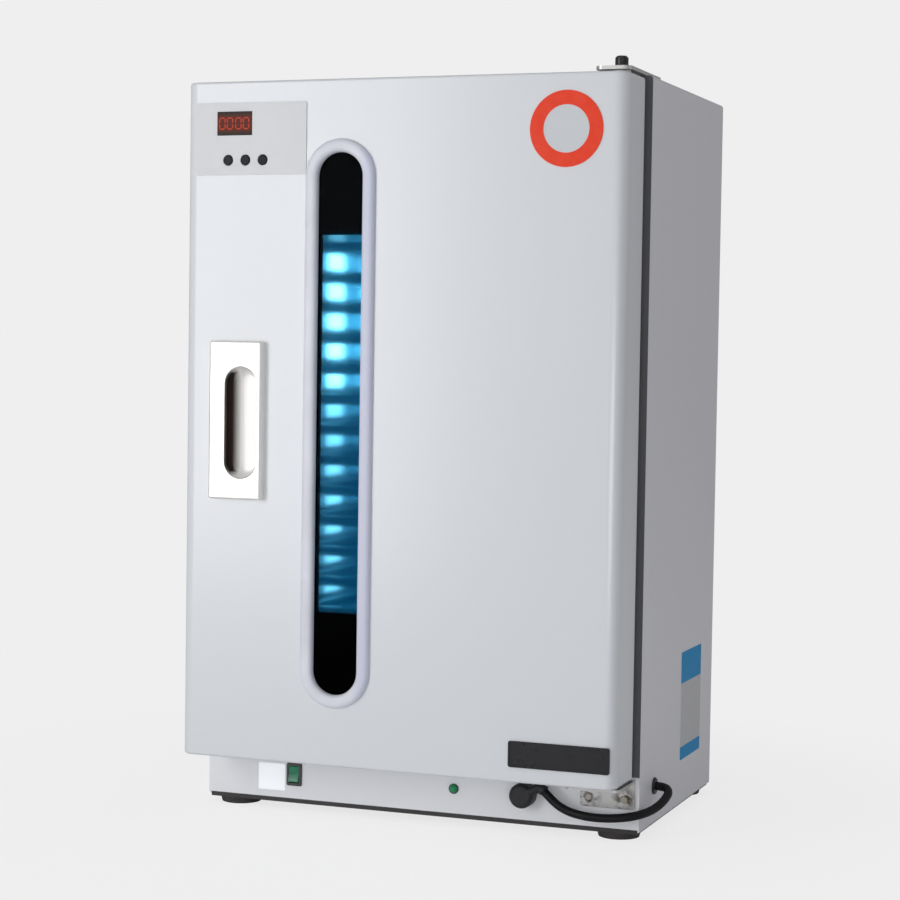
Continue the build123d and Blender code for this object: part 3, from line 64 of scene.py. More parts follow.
# %% Camera
CAMERA_PLACE = Vector((0.7255, -1.9526, 0.4315))
CAMERA_AIM = Vector((-0.35052, 0.93528, -0.04882))
CAMERA_YAW = math.radians(20.545)
CAMERA_ROLL = math.radians(0.871)
LENS, SENSOR_WIDTH = 90.0, 36.0
look = CAMERA_AIM.normalized()
level = Vector((math.cos(CAMERA_YAW), math.sin(CAMERA_YAW), 0.0))
rise = level.cross(look)
right = math.cos(CAMERA_ROLL) * level + math.sin(CAMERA_ROLL) * rise
upward = right.cross(look)
camera_data = bpy.data.cameras.new("portrait")
camera_data.lens = LENS
camera_data.sensor_width = SENSOR_WIDTH
camera = bpy.data.objects.new("portrait", camera_data)
axes = Matrix((right, upward, -look)).transposed()
camera.matrix_world = Matrix.Translation(CAMERA_PLACE) @ axes.to_4x4()
scene.collection.objects.link(camera)
scene.camera = camera
print("camera", [round(v, 3) for v in camera.location])

# %% [markdown]
# ## The link cable
#
# A short black cable leaves the gland under the door, hangs in a bow round the cabinet's corner
# and goes into its side. It could be a swept mesh, but a curve with a round bevel is lighter and
# bends more evenly. A NURBS curve cuts smoothly inside its control points, the way that a stiff
# cable takes its corners. Order 3 is set after the points exist, or it falls back to straight runs.
# The bevel is one metre deep and each point shrinks it to the cable's real radius, because Blender
# grows the curve's own box by the radius of its points.

# %% Link cable
CABLE_DIAMETER = 0.0075
CABLE_POINTS = [
    (0.12375, -0.10021, 0.03966),
    (0.13300, -0.10200, 0.03120),
    (0.14620, -0.10500, 0.02500),
    (0.16100, -0.10750, 0.02260),
    (0.17700, -0.10850, 0.02220),
    (0.19240, -0.10530, 0.02280),
    (0.20560, -0.09660, 0.02420),
    (0.21480, -0.08400, 0.02660),
    (0.21960, -0.07040, 0.02990),
    (0.22200, -0.05800, 0.03400),
    (0.22220, -0.04800, 0.03800),
    (0.21680, -0.04150, 0.04080),
    (0.20850, -0.04150, 0.04080),
]
cable_curve = bpy.data.curves.new("link_cable_curve", "CURVE")
cable_curve.dimensions = "3D"
run = cable_curve.splines.new("NURBS")
run.points.add(len(CABLE_POINTS) - 1)
for point, place in zip(run.points, CABLE_POINTS):
    point.co = (*place, 1.0)
    point.radius = CABLE_DIAMETER / 2
run.order_u = 3
run.use_endpoint_u = True
run.resolution_u = 12
cable_curve.bevel_depth = 1.0
cable_curve.bevel_resolution = 6
cable_curve.use_fill_caps = True
cable = bpy.data.objects.new("bowed_cable", cable_curve)
scene.collection.objects.link(cable)
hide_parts("link_cable")
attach(cable, "cabinet")
print("cable points", len(CABLE_POINTS))

# %% [markdown]
# ## How a finish starts
#
# Every finish starts from one Principled shader. The nodes could be placed one by one in the
# shader editor, but a helper that makes the shader with its colour, roughness and metal share
# keeps each recipe to a few lines. Two more helpers fill in a node's sockets by name and drive
# one of the shader's sockets.


# %% Start a finish
def finish(name, color, roughness, metallic=0.0):
    """A new material with one Principled shader, and the objects to work on it with."""
    material = bpy.data.materials.new(name)
    material.use_nodes = True
    tree = material.node_tree
    shader = tree.nodes["Principled BSDF"]
    shader.inputs["Base Color"].default_value = (*color, 1.0)
    shader.inputs["Roughness"].default_value = roughness
    shader.inputs["Metallic"].default_value = metallic
    return material, tree, shader


def node(tree, kind, **values):
    """A node with its settings or input sockets filled in by name."""
    made = tree.nodes.new(kind)
    for name, value in values.items():
        if name in made.inputs:
            made.inputs[name].default_value = value
        elif name.replace("_", " ") in made.inputs:
            made.inputs[name.replace("_", " ")].default_value = value
        else:
            setattr(made, name, value)
    return made


def feed(tree, shader, name, value):
    """Drives one of the shader's sockets with a value that varies over the piece."""
    tree.links.new(value, shader.inputs[name])


finishes = {}
print("finishes so far", len(finishes))

# %% [markdown]
# ## Noise that makes a surface real
#
# Real surfaces differ from a flat colour in three ways: the colour drifts a little, the gloss is
# uneven, and the surface isn't smooth. A picture of the surface could do all three, but it would
# have to be wrapped round every piece. A noise texture needs no wrapping. It reads object
# coordinates, so the pattern is in metres and stays on the piece when a door or a tray moves.


# %% Noise, ranges and mixtures
def noise(tree, scale, stretch=(1.0, 1.0, 1.0), detail=3.0):
    """A noise value from 0 to 1, in object coordinates, squeezed along any axis."""
    place = node(tree, "ShaderNodeTexCoord")
    squeeze = node(tree, "ShaderNodeMapping", Scale=stretch)
    texture = node(tree, "ShaderNodeTexNoise", Scale=scale, Detail=detail)
    tree.links.new(place.outputs["Object"], squeeze.inputs["Vector"])
    tree.links.new(squeeze.outputs["Vector"], texture.inputs["Vector"])
    return texture.outputs["Fac"]


def between(tree, value, low, high, from_low=0.3, from_high=0.7):
    """Maps a value onto the range from low to high."""
    ramp = node(tree, "ShaderNodeMapRange")
    ramp.inputs["From Min"].default_value = from_low
    ramp.inputs["From Max"].default_value = from_high
    ramp.inputs["To Min"].default_value = low
    ramp.inputs["To Max"].default_value = high
    tree.links.new(value, ramp.inputs["Value"])
    return ramp.outputs["Result"]


def mixed(tree, value, first, second):
    """A colour between two, by a value from 0 to 1. Either colour may be a socket."""
    mixer = node(tree, "ShaderNodeMix", data_type="RGBA")
    tree.links.new(value, mixer.inputs["Factor"])
    for socket, color in ((mixer.inputs[6], first), (mixer.inputs[7], second)):
        if isinstance(color, tuple):
            socket.default_value = (*color, 1.0)
        else:
            tree.links.new(color, socket)
    return mixer.outputs[2]


print("default range of a noise", between.__defaults__)


# %% Colour drift, uneven gloss and relief
def drift(tree, shader, scale, dark, light, stretch=(1.0, 1.0, 1.0)):
    """The colour wanders slowly between two close colours."""
    amount = between(tree, noise(tree, scale, stretch), 0.0, 1.0)
    feed(tree, shader, "Base Color", mixed(tree, amount, dark, light))


def uneven_gloss(tree, shader, scale, low, high, stretch=(1.0, 1.0, 1.0)):
    """The roughness wanders between two values."""
    feed(tree, shader, "Roughness", between(tree, noise(tree, scale, stretch), low, high))


def bumps(tree, shader, scale, strength, distance, stretch=(1.0, 1.0, 1.0), detail=3.0):
    """A fine relief, distance metres deep."""
    relief = node(tree, "ShaderNodeBump", Strength=strength, Distance=distance)
    tree.links.new(noise(tree, scale, stretch, detail), relief.inputs["Height"])
    feed(tree, shader, "Normal", relief.outputs["Normal"])


print("a finish can drift, shine unevenly and have a relief")

# %% [markdown]
# ## Two finishes on one piece
#
# Some pieces change their finish part of the way: a lamp has glass and caps, and the body has
# tape on its rim. The faces could be given materials of their own, but then every change would
# be hard. A mask is a value that goes from 0 to 1 at a certain height, depth or distance on the
# piece, so the change can be as sharp or as soft as the real one.


# %% Masks from the place on the piece
def along(tree, axis):
    """The object coordinate on one axis, in metres."""
    place = node(tree, "ShaderNodeTexCoord")
    split = node(tree, "ShaderNodeSeparateXYZ")
    tree.links.new(place.outputs["Object"], split.inputs["Vector"])
    return split.outputs[axis]


def math_node(tree, operation, first, second=0.0):
    """One step of arithmetic on sockets or numbers."""
    made = node(tree, "ShaderNodeMath", operation=operation)
    for socket, value in zip(made.inputs, (first, second)):
        if isinstance(value, (int, float)):
            socket.default_value = value
        else:
            tree.links.new(value, socket)
    return made.outputs["Value"]


def product(tree, first, *others):
    """Values multiplied together, so that a mask holds only where all of them do."""
    for other in others:
        first = math_node(tree, "MULTIPLY", first, other)
    return first


def off_centre(tree, axis, centre):
    """Distance from a place on one axis, to either side of it."""
    return math_node(tree, "ABSOLUTE", math_node(tree, "SUBTRACT", along(tree, axis), centre))


def length(tree, first, second):
    """Length of the long side over two sides at a right angle."""
    squares = math_node(tree, "ADD", product(tree, first, first), product(tree, second, second))
    return math_node(tree, "SQRT", squares)


def radius_from(tree, x, z):
    """Distance from a line that runs front to back through x and z."""
    across = math_node(tree, "SUBTRACT", along(tree, "X"), x)
    up = math_node(tree, "SUBTRACT", along(tree, "Z"), z)
    return length(tree, across, up)


def lay_over(tree, shader, mask, color):
    """Lays a second colour over the finish where the mask is 1."""
    below = shader.inputs["Base Color"].links[0].from_socket
    feed(tree, shader, "Base Color", mixed(tree, mask, below, color))


def reopen(slot):
    """The nodes and the shader of a finish that is there already."""
    tree = finishes[slot].node_tree
    return tree, tree.nodes["Principled BSDF"]


print("masks are in metres")

# %% [markdown]
# ## White enamel and powder coat
#
# The door is sprayed and baked, so it shines, with a faint orange peel a few millimetres long.
# The body is powder coated, which is duller and has a finer, deeper grain. A thin clear coat
# gives the door and its lining a second, sharper reflection. The door and the body lean to blue.


# %% Paints
def enamel(name, color, roughness, coat, peel_scale, peel_depth):
    """Sprayed paint under a clear coat, with a relief that is peel_depth metres deep."""
    material, tree, shader = finish(name, color, roughness)
    dull = tuple(channel * 0.99 for channel in color)
    drift(tree, shader, 2.0, dull, color)
    uneven_gloss(tree, shader, 5.0, roughness * 0.95, roughness * 1.06)
    shader.inputs["Coat Weight"].default_value = coat
    shader.inputs["Coat Roughness"].default_value = 0.12
    bumps(tree, shader, peel_scale, 0.1, peel_depth, detail=1.0)
    return material


for slot, values in {
    "door_paint": ("door_enamel", (0.785, 0.805, 0.84), 0.24, 0.10, 300.0, 0.00003),
    "body_paint": ("body_powder_coat", (0.87, 0.865, 0.91), 0.45, 0.0, 620.0, 0.00005),
    "liner_paint": ("door_lining_coat", (0.80, 0.81, 0.82), 0.36, 0.2, 420.0, 0.00006),
}.items():
    finishes[slot] = enamel(*values)
print("paints", sorted(finishes))

# %% [markdown]
# ## The plinth's coat and the painted shade on the rim
#
# The plinth has the door's enamel too, but whiter: painted light that offsets the door's shadow
# on it. The body's front rim is painted dark in a strip up each side, where the door comes close:
# painted shade for the gap by the door. Both begin or end at the height of the door's bottom edge,
# so two masks over the paints say where they are, and no extra piece is needed.

# %% Plinth and painted gap shade
DOOR_FOOT, SOFT_EDGE = 0.0560, 0.0005
RIM_FACE, RIM_FADE_START, RIM_FADE_END = -0.0890, 0.0002, 0.0006
GAP_SHADE_INNER_EDGE = 0.1945
door_foot_span = (DOOR_FOOT - SOFT_EDGE, DOOR_FOOT + SOFT_EDGE)
# Painted light: the plinth below the door's foot is coloured whiter than the door, against the
# door's shadow.
tree, shader = reopen("door_paint")
on_plinth = between(tree, along(tree, "Z"), 1.0, 0.0, *door_foot_span)
lay_over(tree, shader, on_plinth, (0.90, 0.91, 0.94))

# Painted shade: a dark strip up each side of the rim stands for the shadow in the gap beside the
# door.
tree, shader = reopen("body_paint")
rim_span = (RIM_FACE + RIM_FADE_START, RIM_FACE + RIM_FADE_END)
on_rim = between(tree, along(tree, "Y"), 1.0, 0.0, *rim_span)
by_the_door = between(tree, along(tree, "Z"), 0.0, 1.0, *door_foot_span)
sideways = math_node(tree, "ABSOLUTE", along(tree, "X"))
near_side = between(tree, sideways, 0.0, 1.0, GAP_SHADE_INNER_EDGE, GAP_SHADE_INNER_EDGE + SOFT_EDGE)
lay_over(tree, shader, product(tree, near_side, by_the_door, on_rim), (0.13, 0.13, 0.14))
print("tape beyond", GAP_SHADE_INNER_EDGE, "and above", DOOR_FOOT)

# %% [markdown]
# ## Stainless and plated steel
#
# Rolled or brushed steel carries fine parallel lines. A noise that is squeezed hard across one
# axis draws them, and it drives both the relief and the gloss, so highlights streak. The chamber
# and its trays are polished to throw the lamps' light about. They and the rack are tinted towards
# teal, a painted reflection of the blue light that the real ones mirror. The hinge pin is
# blackened instead, with an uneven, faintly rough skin.


# %% Steels
def rolled_steel(name, color, roughness, lines, depth=0.00002):
    """Bare metal with fine lines or grain in it, depth metres deep."""
    material, tree, shader = finish(name, color, roughness, metallic=1.0)
    shade = tuple(channel * 0.86 for channel in color)
    drift(tree, shader, 9.0, shade, color)
    uneven_gloss(tree, shader, 1.0, roughness * 0.7, roughness * 1.4, lines)
    bumps(tree, shader, 1.0, 0.35, depth, lines)
    return material


UPRIGHT_LINES = (900.0, 900.0, 14.0)
CROSS_LINES = (14.0, 900.0, 900.0)
DEEP_LINES = (900.0, 14.0, 900.0)
ROUND_GRAIN = (400.0, 400.0, 400.0)
for slot, values in {
    "chamber_steel": ("polished_lining", (0.30, 0.56, 0.66), 0.42, UPRIGHT_LINES),
    # Painted reflection: the rack's steel is tinted teal like the chamber's.
    "rack_steel": ("rack_steel", (0.56, 0.72, 0.78), 0.30, DEEP_LINES),
    "tray_steel": ("polished_tray", (0.44, 0.70, 0.80), 0.34, CROSS_LINES),
    "hinge_steel": ("hinge_steel", (0.56, 0.555, 0.55), 0.36, DEEP_LINES, 0.00004),
    "screw_steel": ("screw_steel", (0.36, 0.33, 0.29), 0.38, ROUND_GRAIN, 0.00003),
}.items():
    finishes[slot] = rolled_steel(*values)

material, tree, shader = finish("black_oxide", (0.035, 0.035, 0.04), 0.35, metallic=0.7)
drift(tree, shader, 240.0, (0.02, 0.02, 0.022), (0.06, 0.058, 0.055))
bumps(tree, shader, 900.0, 0.3, 0.00003)
finishes["pin_black"] = material
print("steels", len(finishes))

# %% [markdown]
# ## Dark patches on the bottom bracket
#
# The bottom bracket is darker in patches round its two screws. A noise breaks the patches up, and
# the distance from each screw keeps them close to it.

# %% Dark patches round the screws
BRACKET_SCREW_XS, BRACKET_SCREW_Z = (0.162, 0.194), 0.037
DARK_CORE, DARK_REACH = 0.005, 0.013
tree, shader = reopen("hinge_steel")
patches = between(tree, noise(tree, 160.0, detail=4.0), 0.0, 1.0, 0.40, 0.56)
by_left, by_right = [
    between(tree, radius_from(tree, x, BRACKET_SCREW_Z), 0.9, 0.0, DARK_CORE, DARK_REACH)
    for x in BRACKET_SCREW_XS
]
dark_patches = product(tree, patches, math_node(tree, "MAXIMUM", by_left, by_right))
lay_over(tree, shader, dark_patches, (0.060, 0.042, 0.030))
print("rust round", BRACKET_SCREW_XS)

# %% [markdown]
# ## The flush pull
#
# The pull is a die casting with a satin chrome plate. It is nearly white in the picture because
# it mirrors the bright room. The plating is brushed from top to bottom. The finger hollow is
# blasted, so it is duller there and looks evenly pale, which a lower metal share gives; its colour
# is also painted lighter than the plate's, as painted light against the shade in the hollow. The
# undercut at the hollow's left, where the fingers grip, is painted near black as painted shade,
# and the plate fades into it. All of this is one casting, so its depths and widths become masks.

# %% Satin chrome
PULL_FACE = -0.1635
PULL_MIDDLE, CUP_HALF_HEIGHT, CUP_FADE = 0.3559, 0.0540, 0.0020
UNDERCUT_RIM, BLACK_EDGE, SHADE_FADE_END = -0.1670, -0.1565, -0.1505
SATIN_LINES = (1100.0, 1100.0, 12.0)
material, tree, shader = finish("satin_chrome", (0.88, 0.88, 0.87), 0.24, metallic=1.0)
depth = along(tree, "Y")
hollow = between(tree, depth, 0.0, 1.0, PULL_FACE + 0.0035, PULL_FACE + 0.0170)
# Painted light: the hollow's colour is lighter than the plate's, to offset the shade inside it.
plate_with_painted_light = mixed(tree, hollow, (0.90, 0.89, 0.86), (0.95, 0.935, 0.925))
brushing = between(tree, noise(tree, 1.0, SATIN_LINES), 0.36, 0.50)
duller = product(tree, hollow, 0.10)
feed(tree, shader, "Roughness", math_node(tree, "ADD", brushing, duller))
blasted = between(tree, depth, 1.0, 0.42, PULL_FACE + 0.0015, PULL_FACE + 0.0075)
feed(tree, shader, "Metallic", blasted)
bumps(tree, shader, 1.0, 0.25, 0.00002, SATIN_LINES)
finishes["pull_chrome"] = material
print("pull", material.name)

# %% Painted shade in the undercut
# Painted shade: the undercut at the hollow's left is coloured near black, and the plate fades into
# it.
below_face = between(tree, depth, 0.0, 1.0, PULL_FACE + 0.0003, PULL_FACE + 0.0009)
in_undercut = between(tree, along(tree, "X"), 1.0, 0.0, BLACK_EDGE, SHADE_FADE_END)
past_rim = between(tree, along(tree, "X"), 0.0, 1.0, UNDERCUT_RIM, UNDERCUT_RIM + 0.0005)
off_middle = off_centre(tree, "Z", PULL_MIDDLE)
in_cup = between(tree, off_middle, 1.0, 0.0, CUP_HALF_HEIGHT, CUP_HALF_HEIGHT + CUP_FADE)
painted_undercut_shade = product(tree, past_rim, in_cup, in_undercut, below_face)
feed(tree, shader, "Base Color", mixed(tree, painted_undercut_shade, plate_with_painted_light, (0.060, 0.042, 0.037)))
print("undercut from", UNDERCUT_RIM, "to", SHADE_FADE_END)

# %% [markdown]
# ## Plastics and rubber
#
# Moulded plastic has a spark-eroded grain, well under a millimetre across. Rubber is duller and
# catches dust, which shows as pale specks. The ballast's case has a grained coat of the same
# kind. One recipe with different numbers serves them all. The window's bezel is coloured darker
# and bluer on its right flank: painted shade.


# %% Moulded finishes
def moulded(name, color, roughness, grain_scale, grain_depth, dust=0.0, shine=0.5):
    """Plastic or rubber with a fine grain, and dust on it where that isn't 0."""
    material, tree, shader = finish(name, color, roughness)
    shader.inputs["Specular IOR Level"].default_value = shine
    shade = tuple(channel * 0.88 for channel in color)
    drift(tree, shader, 30.0, shade, color)
    uneven_gloss(tree, shader, 80.0, roughness * 0.85, min(1.0, roughness * 1.2))
    bumps(tree, shader, grain_scale, 0.5, grain_depth)
    if dust:
        specks = between(tree, noise(tree, 700.0, detail=5.0), 0.0, dust, 0.58, 0.75)
        lay_over(tree, shader, specks, (0.45, 0.44, 0.42))
    return material


for slot, values in {
    "bezel_white": ((0.82, 0.83, 0.91), 0.32, 500.0, 0.00002, 0.0, 0.3),
    "button_black": ((0.016, 0.018, 0.026), 0.42, 1500.0, 0.00002, 0.0, 0.12),
    "socket_white": ((0.80, 0.80, 0.77), 0.35, 900.0, 0.00003),
    "sensor_white": ((0.74, 0.74, 0.72), 0.45, 1200.0, 0.00003),
    "bush_white": ((0.82, 0.82, 0.79), 0.40, 1200.0, 0.00002),
    "switch_black": ((0.06, 0.055, 0.05), 0.40, 1400.0, 0.00003),
    "gland_black": ((0.022, 0.022, 0.025), 0.48, 1300.0, 0.00005, 0.05, 0.35),
    "cable_black": ((0.005, 0.005, 0.007), 0.50, 1100.0, 0.00004, 0.01, 0.22),
    "inlet_black": ((0.025, 0.025, 0.027), 0.45, 1400.0, 0.00004, 0.08),
    "foot_rubber": ((0.045, 0.040, 0.040), 0.75, 900.0, 0.00008, 0.15),
    "seal_rubber": ((0.06, 0.06, 0.066), 0.62, 800.0, 0.00006, 0.06),
    # Painted shade: the base pan is a real part, but its near-black colour makes its lip below the
    # plinth stand for the shadow under the cabinet.
    "pan_black": ((0.030, 0.028, 0.027), 0.45, 900.0, 0.00003, 0.05),
    "shroud_black": ((0.004, 0.004, 0.005), 0.70, 1500.0, 0.00003, 0.0, 0.2),
    "plate_black": ((0.012, 0.012, 0.015), 0.30, 1500.0, 0.00002, 0.02, 0.40),
    "ballast_metal": ((0.68, 0.68, 0.66), 0.35, 500.0, 0.00004),
}.items():
    finishes[slot] = moulded(slot, *values)
print("moulded finishes", len(finishes))

# %% Bezel's right flank
BEZEL_CREST, BEZEL_FLANK = -0.0360, -0.0270
tree, shader = reopen("bezel_white")
# Painted shade: the bezel's right flank is coloured darker and bluer.
right_flank_shade = between(tree, along(tree, "X"), 0.0, 1.0, BEZEL_CREST, BEZEL_FLANK)
lay_over(tree, shader, right_flank_shade, (0.68, 0.70, 0.84))
print("bezel bluer from", BEZEL_CREST)

# %% [markdown]
# ## Control panel film, display and circuit board
#
# The panel is a screen-printed film with a fine even grain, a shade darker than the door. The
# display is a dark red filter: it is painted redder in the middle, behind the digits, as a painted
# glow of their light, and its edge stays dark. That colour fades with the distance from the
# filter's centre line, with no picture needed. The circuit board's copper shows through its green
# lacquer as level paler streaks.

# %% Panel, filter and board
DISPLAY_X, DISPLAY_Z = -0.155, 0.619
RED_HALF_HEIGHT, DARK_HALF_HEIGHT = 0.0055, 0.0088
material, tree, shader = finish("panel_film", (0.675, 0.685, 0.71), 0.42)
drift(tree, shader, 12.0, (0.70, 0.71, 0.73), (0.735, 0.745, 0.765))
uneven_gloss(tree, shader, 160.0, 0.36, 0.48)
bumps(tree, shader, 2200.0, 0.4, 0.00003)
finishes["panel_grey"] = material

material, tree, shader = finish("display_filter", (0.10, 0.02, 0.015), 0.12)
off_line = off_centre(tree, "Z", DISPLAY_Z)
by_digits = between(tree, off_line, 1.0, 0.0, RED_HALF_HEIGHT, DARK_HALF_HEIGHT)
# Painted glow: the filter is redder near the digits' line, standing for their light.
filter_with_painted_glow = mixed(tree, by_digits, (0.055, 0.040, 0.034), (0.13, 0.040, 0.030))
feed(tree, shader, "Base Color", filter_with_painted_glow)
uneven_gloss(tree, shader, 90.0, 0.08, 0.16)
shader.inputs["Specular IOR Level"].default_value = 0.03
finishes["display_red"] = material

material, tree, shader = finish("circuit_board", (0.02, 0.12, 0.05), 0.4)
copper = between(tree, noise(tree, 1.0, (60.0, 60.0, 420.0), 1.0), 0.0, 1.0, 0.49, 0.51)
lacquer = mixed(tree, copper, (0.015, 0.10, 0.045), (0.03, 0.19, 0.08))
feed(tree, shader, "Base Color", lacquer)
uneven_gloss(tree, shader, 300.0, 0.3, 0.45)
finishes["board_green"] = material
print("panel finishes", len(finishes))

# %% [markdown]
# ## Round red badge
#
# The badge is a plain ring near the door's upper right corner. The ring is enamelled red with a
# pale field inside it, and the field is a little recessed in the CAD model. The colour comes
# from the distance to the badge's centre.

# %% Badge
BADGE_PLACE = (0.151, 0.609)
FIELD_EDGE, RING_EDGE = 0.0199, 0.0202
material, tree, shader = finish("badge_enamel", (0.84, 0.055, 0.025), 0.22)
on_ring = between(tree, radius_from(tree, *BADGE_PLACE), 0.0, 1.0, FIELD_EDGE, RING_EDGE)
reds = between(tree, noise(tree, 90.0), 0.0, 1.0)
red = mixed(tree, reds, (0.92, 0.065, 0.030), (0.97, 0.085, 0.042))
feed(tree, shader, "Base Color", mixed(tree, on_ring, (0.70, 0.72, 0.75), red))
uneven_gloss(tree, shader, 120.0, 0.18, 0.28)
bumps(tree, shader, 600.0, 0.2, 0.00002)
shader.inputs["Specular IOR Level"].default_value = 0.15
finishes["badge_red"] = material
print("badge at", BADGE_PLACE)

# %% [markdown]
# ## Lamps, indicator and lit rocker
#
# The lamps are tubes of nearly white light with aluminium caps. The caps are in the same solid as
# the tube, so the height along the tube decides which is which. A smoky sleeve dims the upper end
# above the trays, and the lower half glows less than the upper half, as in the photo. The green
# indicator and the rocker glow only a little. Light from a surface is easier to keep in step with
# its shape than a lamp object beside it, so all of them glow by their own shader.


# %% Lamp tubes
def emit(tree, shader, color, strength):
    """The surface glows by itself. The strength is one number, or a socket that varies it."""
    shader.inputs["Emission Color"].default_value = (*color, 1.0)
    if isinstance(strength, (int, float)):
        shader.inputs["Emission Strength"].default_value = strength
    else:
        feed(tree, shader, "Emission Strength", strength)


LAMP_LOW, LAMP_HIGH, CAP_LENGTH = 0.0975, 0.6145, 0.012
SLEEVE_START, SLEEVE_FULL = 0.5185, 0.5275
DIM_BELOW, BRIGHT_ABOVE = 0.360, 0.400
LAMP_STRENGTH = 7.0
material, tree, shader = finish("lamp_glass", (0.62, 0.72, 0.76), 0.12)
middle = (LAMP_LOW + LAMP_HIGH) / 2
half_glow = (LAMP_HIGH - LAMP_LOW) / 2 - CAP_LENGTH
tube = between(tree, off_centre(tree, "Z", middle), 1.0, 0.0, half_glow - 0.0004, half_glow)
sleeve = between(tree, along(tree, "Z"), 1.0, 0.12, SLEEVE_START, SLEEVE_FULL)
foot = between(tree, along(tree, "Z"), 0.34, 1.0, DIM_BELOW, BRIGHT_ABOVE)
feed(tree, shader, "Metallic", math_node(tree, "SUBTRACT", 1.0, tube))
feed(tree, shader, "Roughness", between(tree, noise(tree, 300.0), 0.10, 0.30))
emit(tree, shader, (1.0, 0.93, 0.95), product(tree, sleeve, foot, tube, LAMP_STRENGTH))
finishes["lamp_tube"] = material
print("lamp glow from", LAMP_LOW, "to", LAMP_HIGH)

# %% Indicator and rocker
INDICATOR_PLACE = (0.0357, 0.0325)
LENS_EDGE, LENS_RIM = 0.0034, 0.0037
material, tree, shader = finish("indicator_lens", (0.02, 0.42, 0.12), 0.18)
lens = between(tree, radius_from(tree, *INDICATOR_PLACE), 1.0, 0.0, LENS_EDGE, LENS_RIM)
lens_tint = mixed(tree, lens, (0.04, 0.08, 0.05), (0.01, 0.20, 0.09))
feed(tree, shader, "Base Color", lens_tint)
uneven_gloss(tree, shader, 500.0, 0.12, 0.25)
emit(tree, shader, (0.01, 0.40, 0.10), product(tree, lens, 0.12))
finishes["led_green"] = material

material, tree, shader = finish("rocker_lens", (0.01, 0.17, 0.09), 0.22)
drift(tree, shader, 200.0, (0.008, 0.12, 0.065), (0.012, 0.20, 0.11))
uneven_gloss(tree, shader, 260.0, 0.16, 0.30)
emit(tree, shader, (0.0, 0.16, 0.08), 0.2)
finishes["rocker_green"] = material
print("indicator at", INDICATOR_PLACE)

# %% [markdown]
# ## Window glass
#
# The pane is tinted blue, so that it holds back the lamps' glare and the trays behind it look teal.
# Its face is etched, which blurs the outlines in the chamber. The Principled shader with full
# transmission bends light as glass does, and the dark specular tint stands for an anti-glare coat.
# The etching also scatters some of the lamps' light over the whole lit part of the pane. A faint
# blue glow stands for that haze, and it ends where the black shroud covers the chamber.

# %% Glass
HAZE_LOW, HAZE_HIGH = 0.1910, 0.5240
HAZE_LEFT, HAZE_FULL = -0.0715, -0.0650
HAZE_STRENGTH = 0.055
material, tree, shader = finish("window_glass", (0.115, 0.50, 0.70), 0.13)
above_foot = between(tree, along(tree, "Z"), 0.0, 1.0, HAZE_LOW, HAZE_LOW + 0.005)
below_head = between(tree, along(tree, "Z"), 1.0, 0.0, HAZE_HIGH - 0.008, HAZE_HIGH)
off_left_edge = between(tree, along(tree, "X"), 0.0, 1.0, HAZE_LEFT, HAZE_FULL)
haze = product(tree, above_foot, below_head, off_left_edge)
emit(tree, shader, (0.0, 0.42, 1.0), product(tree, haze, HAZE_STRENGTH))
shader.inputs["Transmission Weight"].default_value = 1.0
shader.inputs["IOR"].default_value = 1.45
shader.inputs["Specular Tint"].default_value = (0.008, 0.009, 0.013, 1.0)
uneven_gloss(tree, shader, 40.0, 0.115, 0.145)
finishes["window_glass"] = material
print("glass", material.name)

# %% [markdown]
# ## Hand the finishes to the model
#
# The record of the model says which finish each node takes. Reading it here means that a node
# can't be forgotten: a missing finish stops the loop with its name.

# %% Assign finishes
for entry in frame["record"]["subparts"]:
    piece = nodes[entry["node"]]
    if not piece.material_slots:
        piece.data.materials.append(None)
    for place in piece.material_slots:
        place.material = finishes[entry["material_slot"]]
cable_curve.materials.append(finishes["cable_black"])

# %% [markdown]
# ## Stickers
#
# Two blank stickers are on the cabinet: a white one beside the switch and a larger one with two
# blue bands on the right side. Paper lies flat, but it has a thickness and rounded corners, so
# each is a thin plate. The outline is walked round corner by corner, once on the surface and
# once proud of it, and a loop joins the two with side faces. To extrude one face would be
# shorter, but that lists the side faces in another order from run to run.

# %% A thin plate
CORNER_STEPS = 4


def thin_plate(name, width, height, thickness, corner, place, across, up):
    """A plate with rounded corners, centred on place, that stands proud by its thickness."""
    out = Vector(across).cross(Vector(up)) * thickness
    rim = []
    for turn, (sx, sy) in enumerate(((1, 1), (-1, 1), (-1, -1), (1, -1))):
        for step in range(CORNER_STEPS + 1):
            angle = math.pi / 2 * (turn + step / CORNER_STEPS)
            x = sx * (width / 2 - corner) + corner * math.cos(angle)
            y = sy * (height / 2 - corner) + corner * math.sin(angle)
            rim.append(Vector(place) + Vector(across) * x + Vector(up) * y)
    mesh = bmesh.new()
    back = [mesh.verts.new(point) for point in rim]
    front = [mesh.verts.new(point + out) for point in rim]
    mesh.faces.new(back[:1] + back[:0:-1])
    mesh.faces.new(front)
    for index, after in enumerate((*range(1, len(rim)), 0)):
        mesh.faces.new((back[index], back[after], front[after], front[index]))
    data = bpy.data.meshes.new(name)
    mesh.to_mesh(data)
    mesh.free()
    made = bpy.data.objects.new(name, data)
    scene.collection.objects.link(made)
    return made


print("points round a plate", 4 * (CORNER_STEPS + 1))

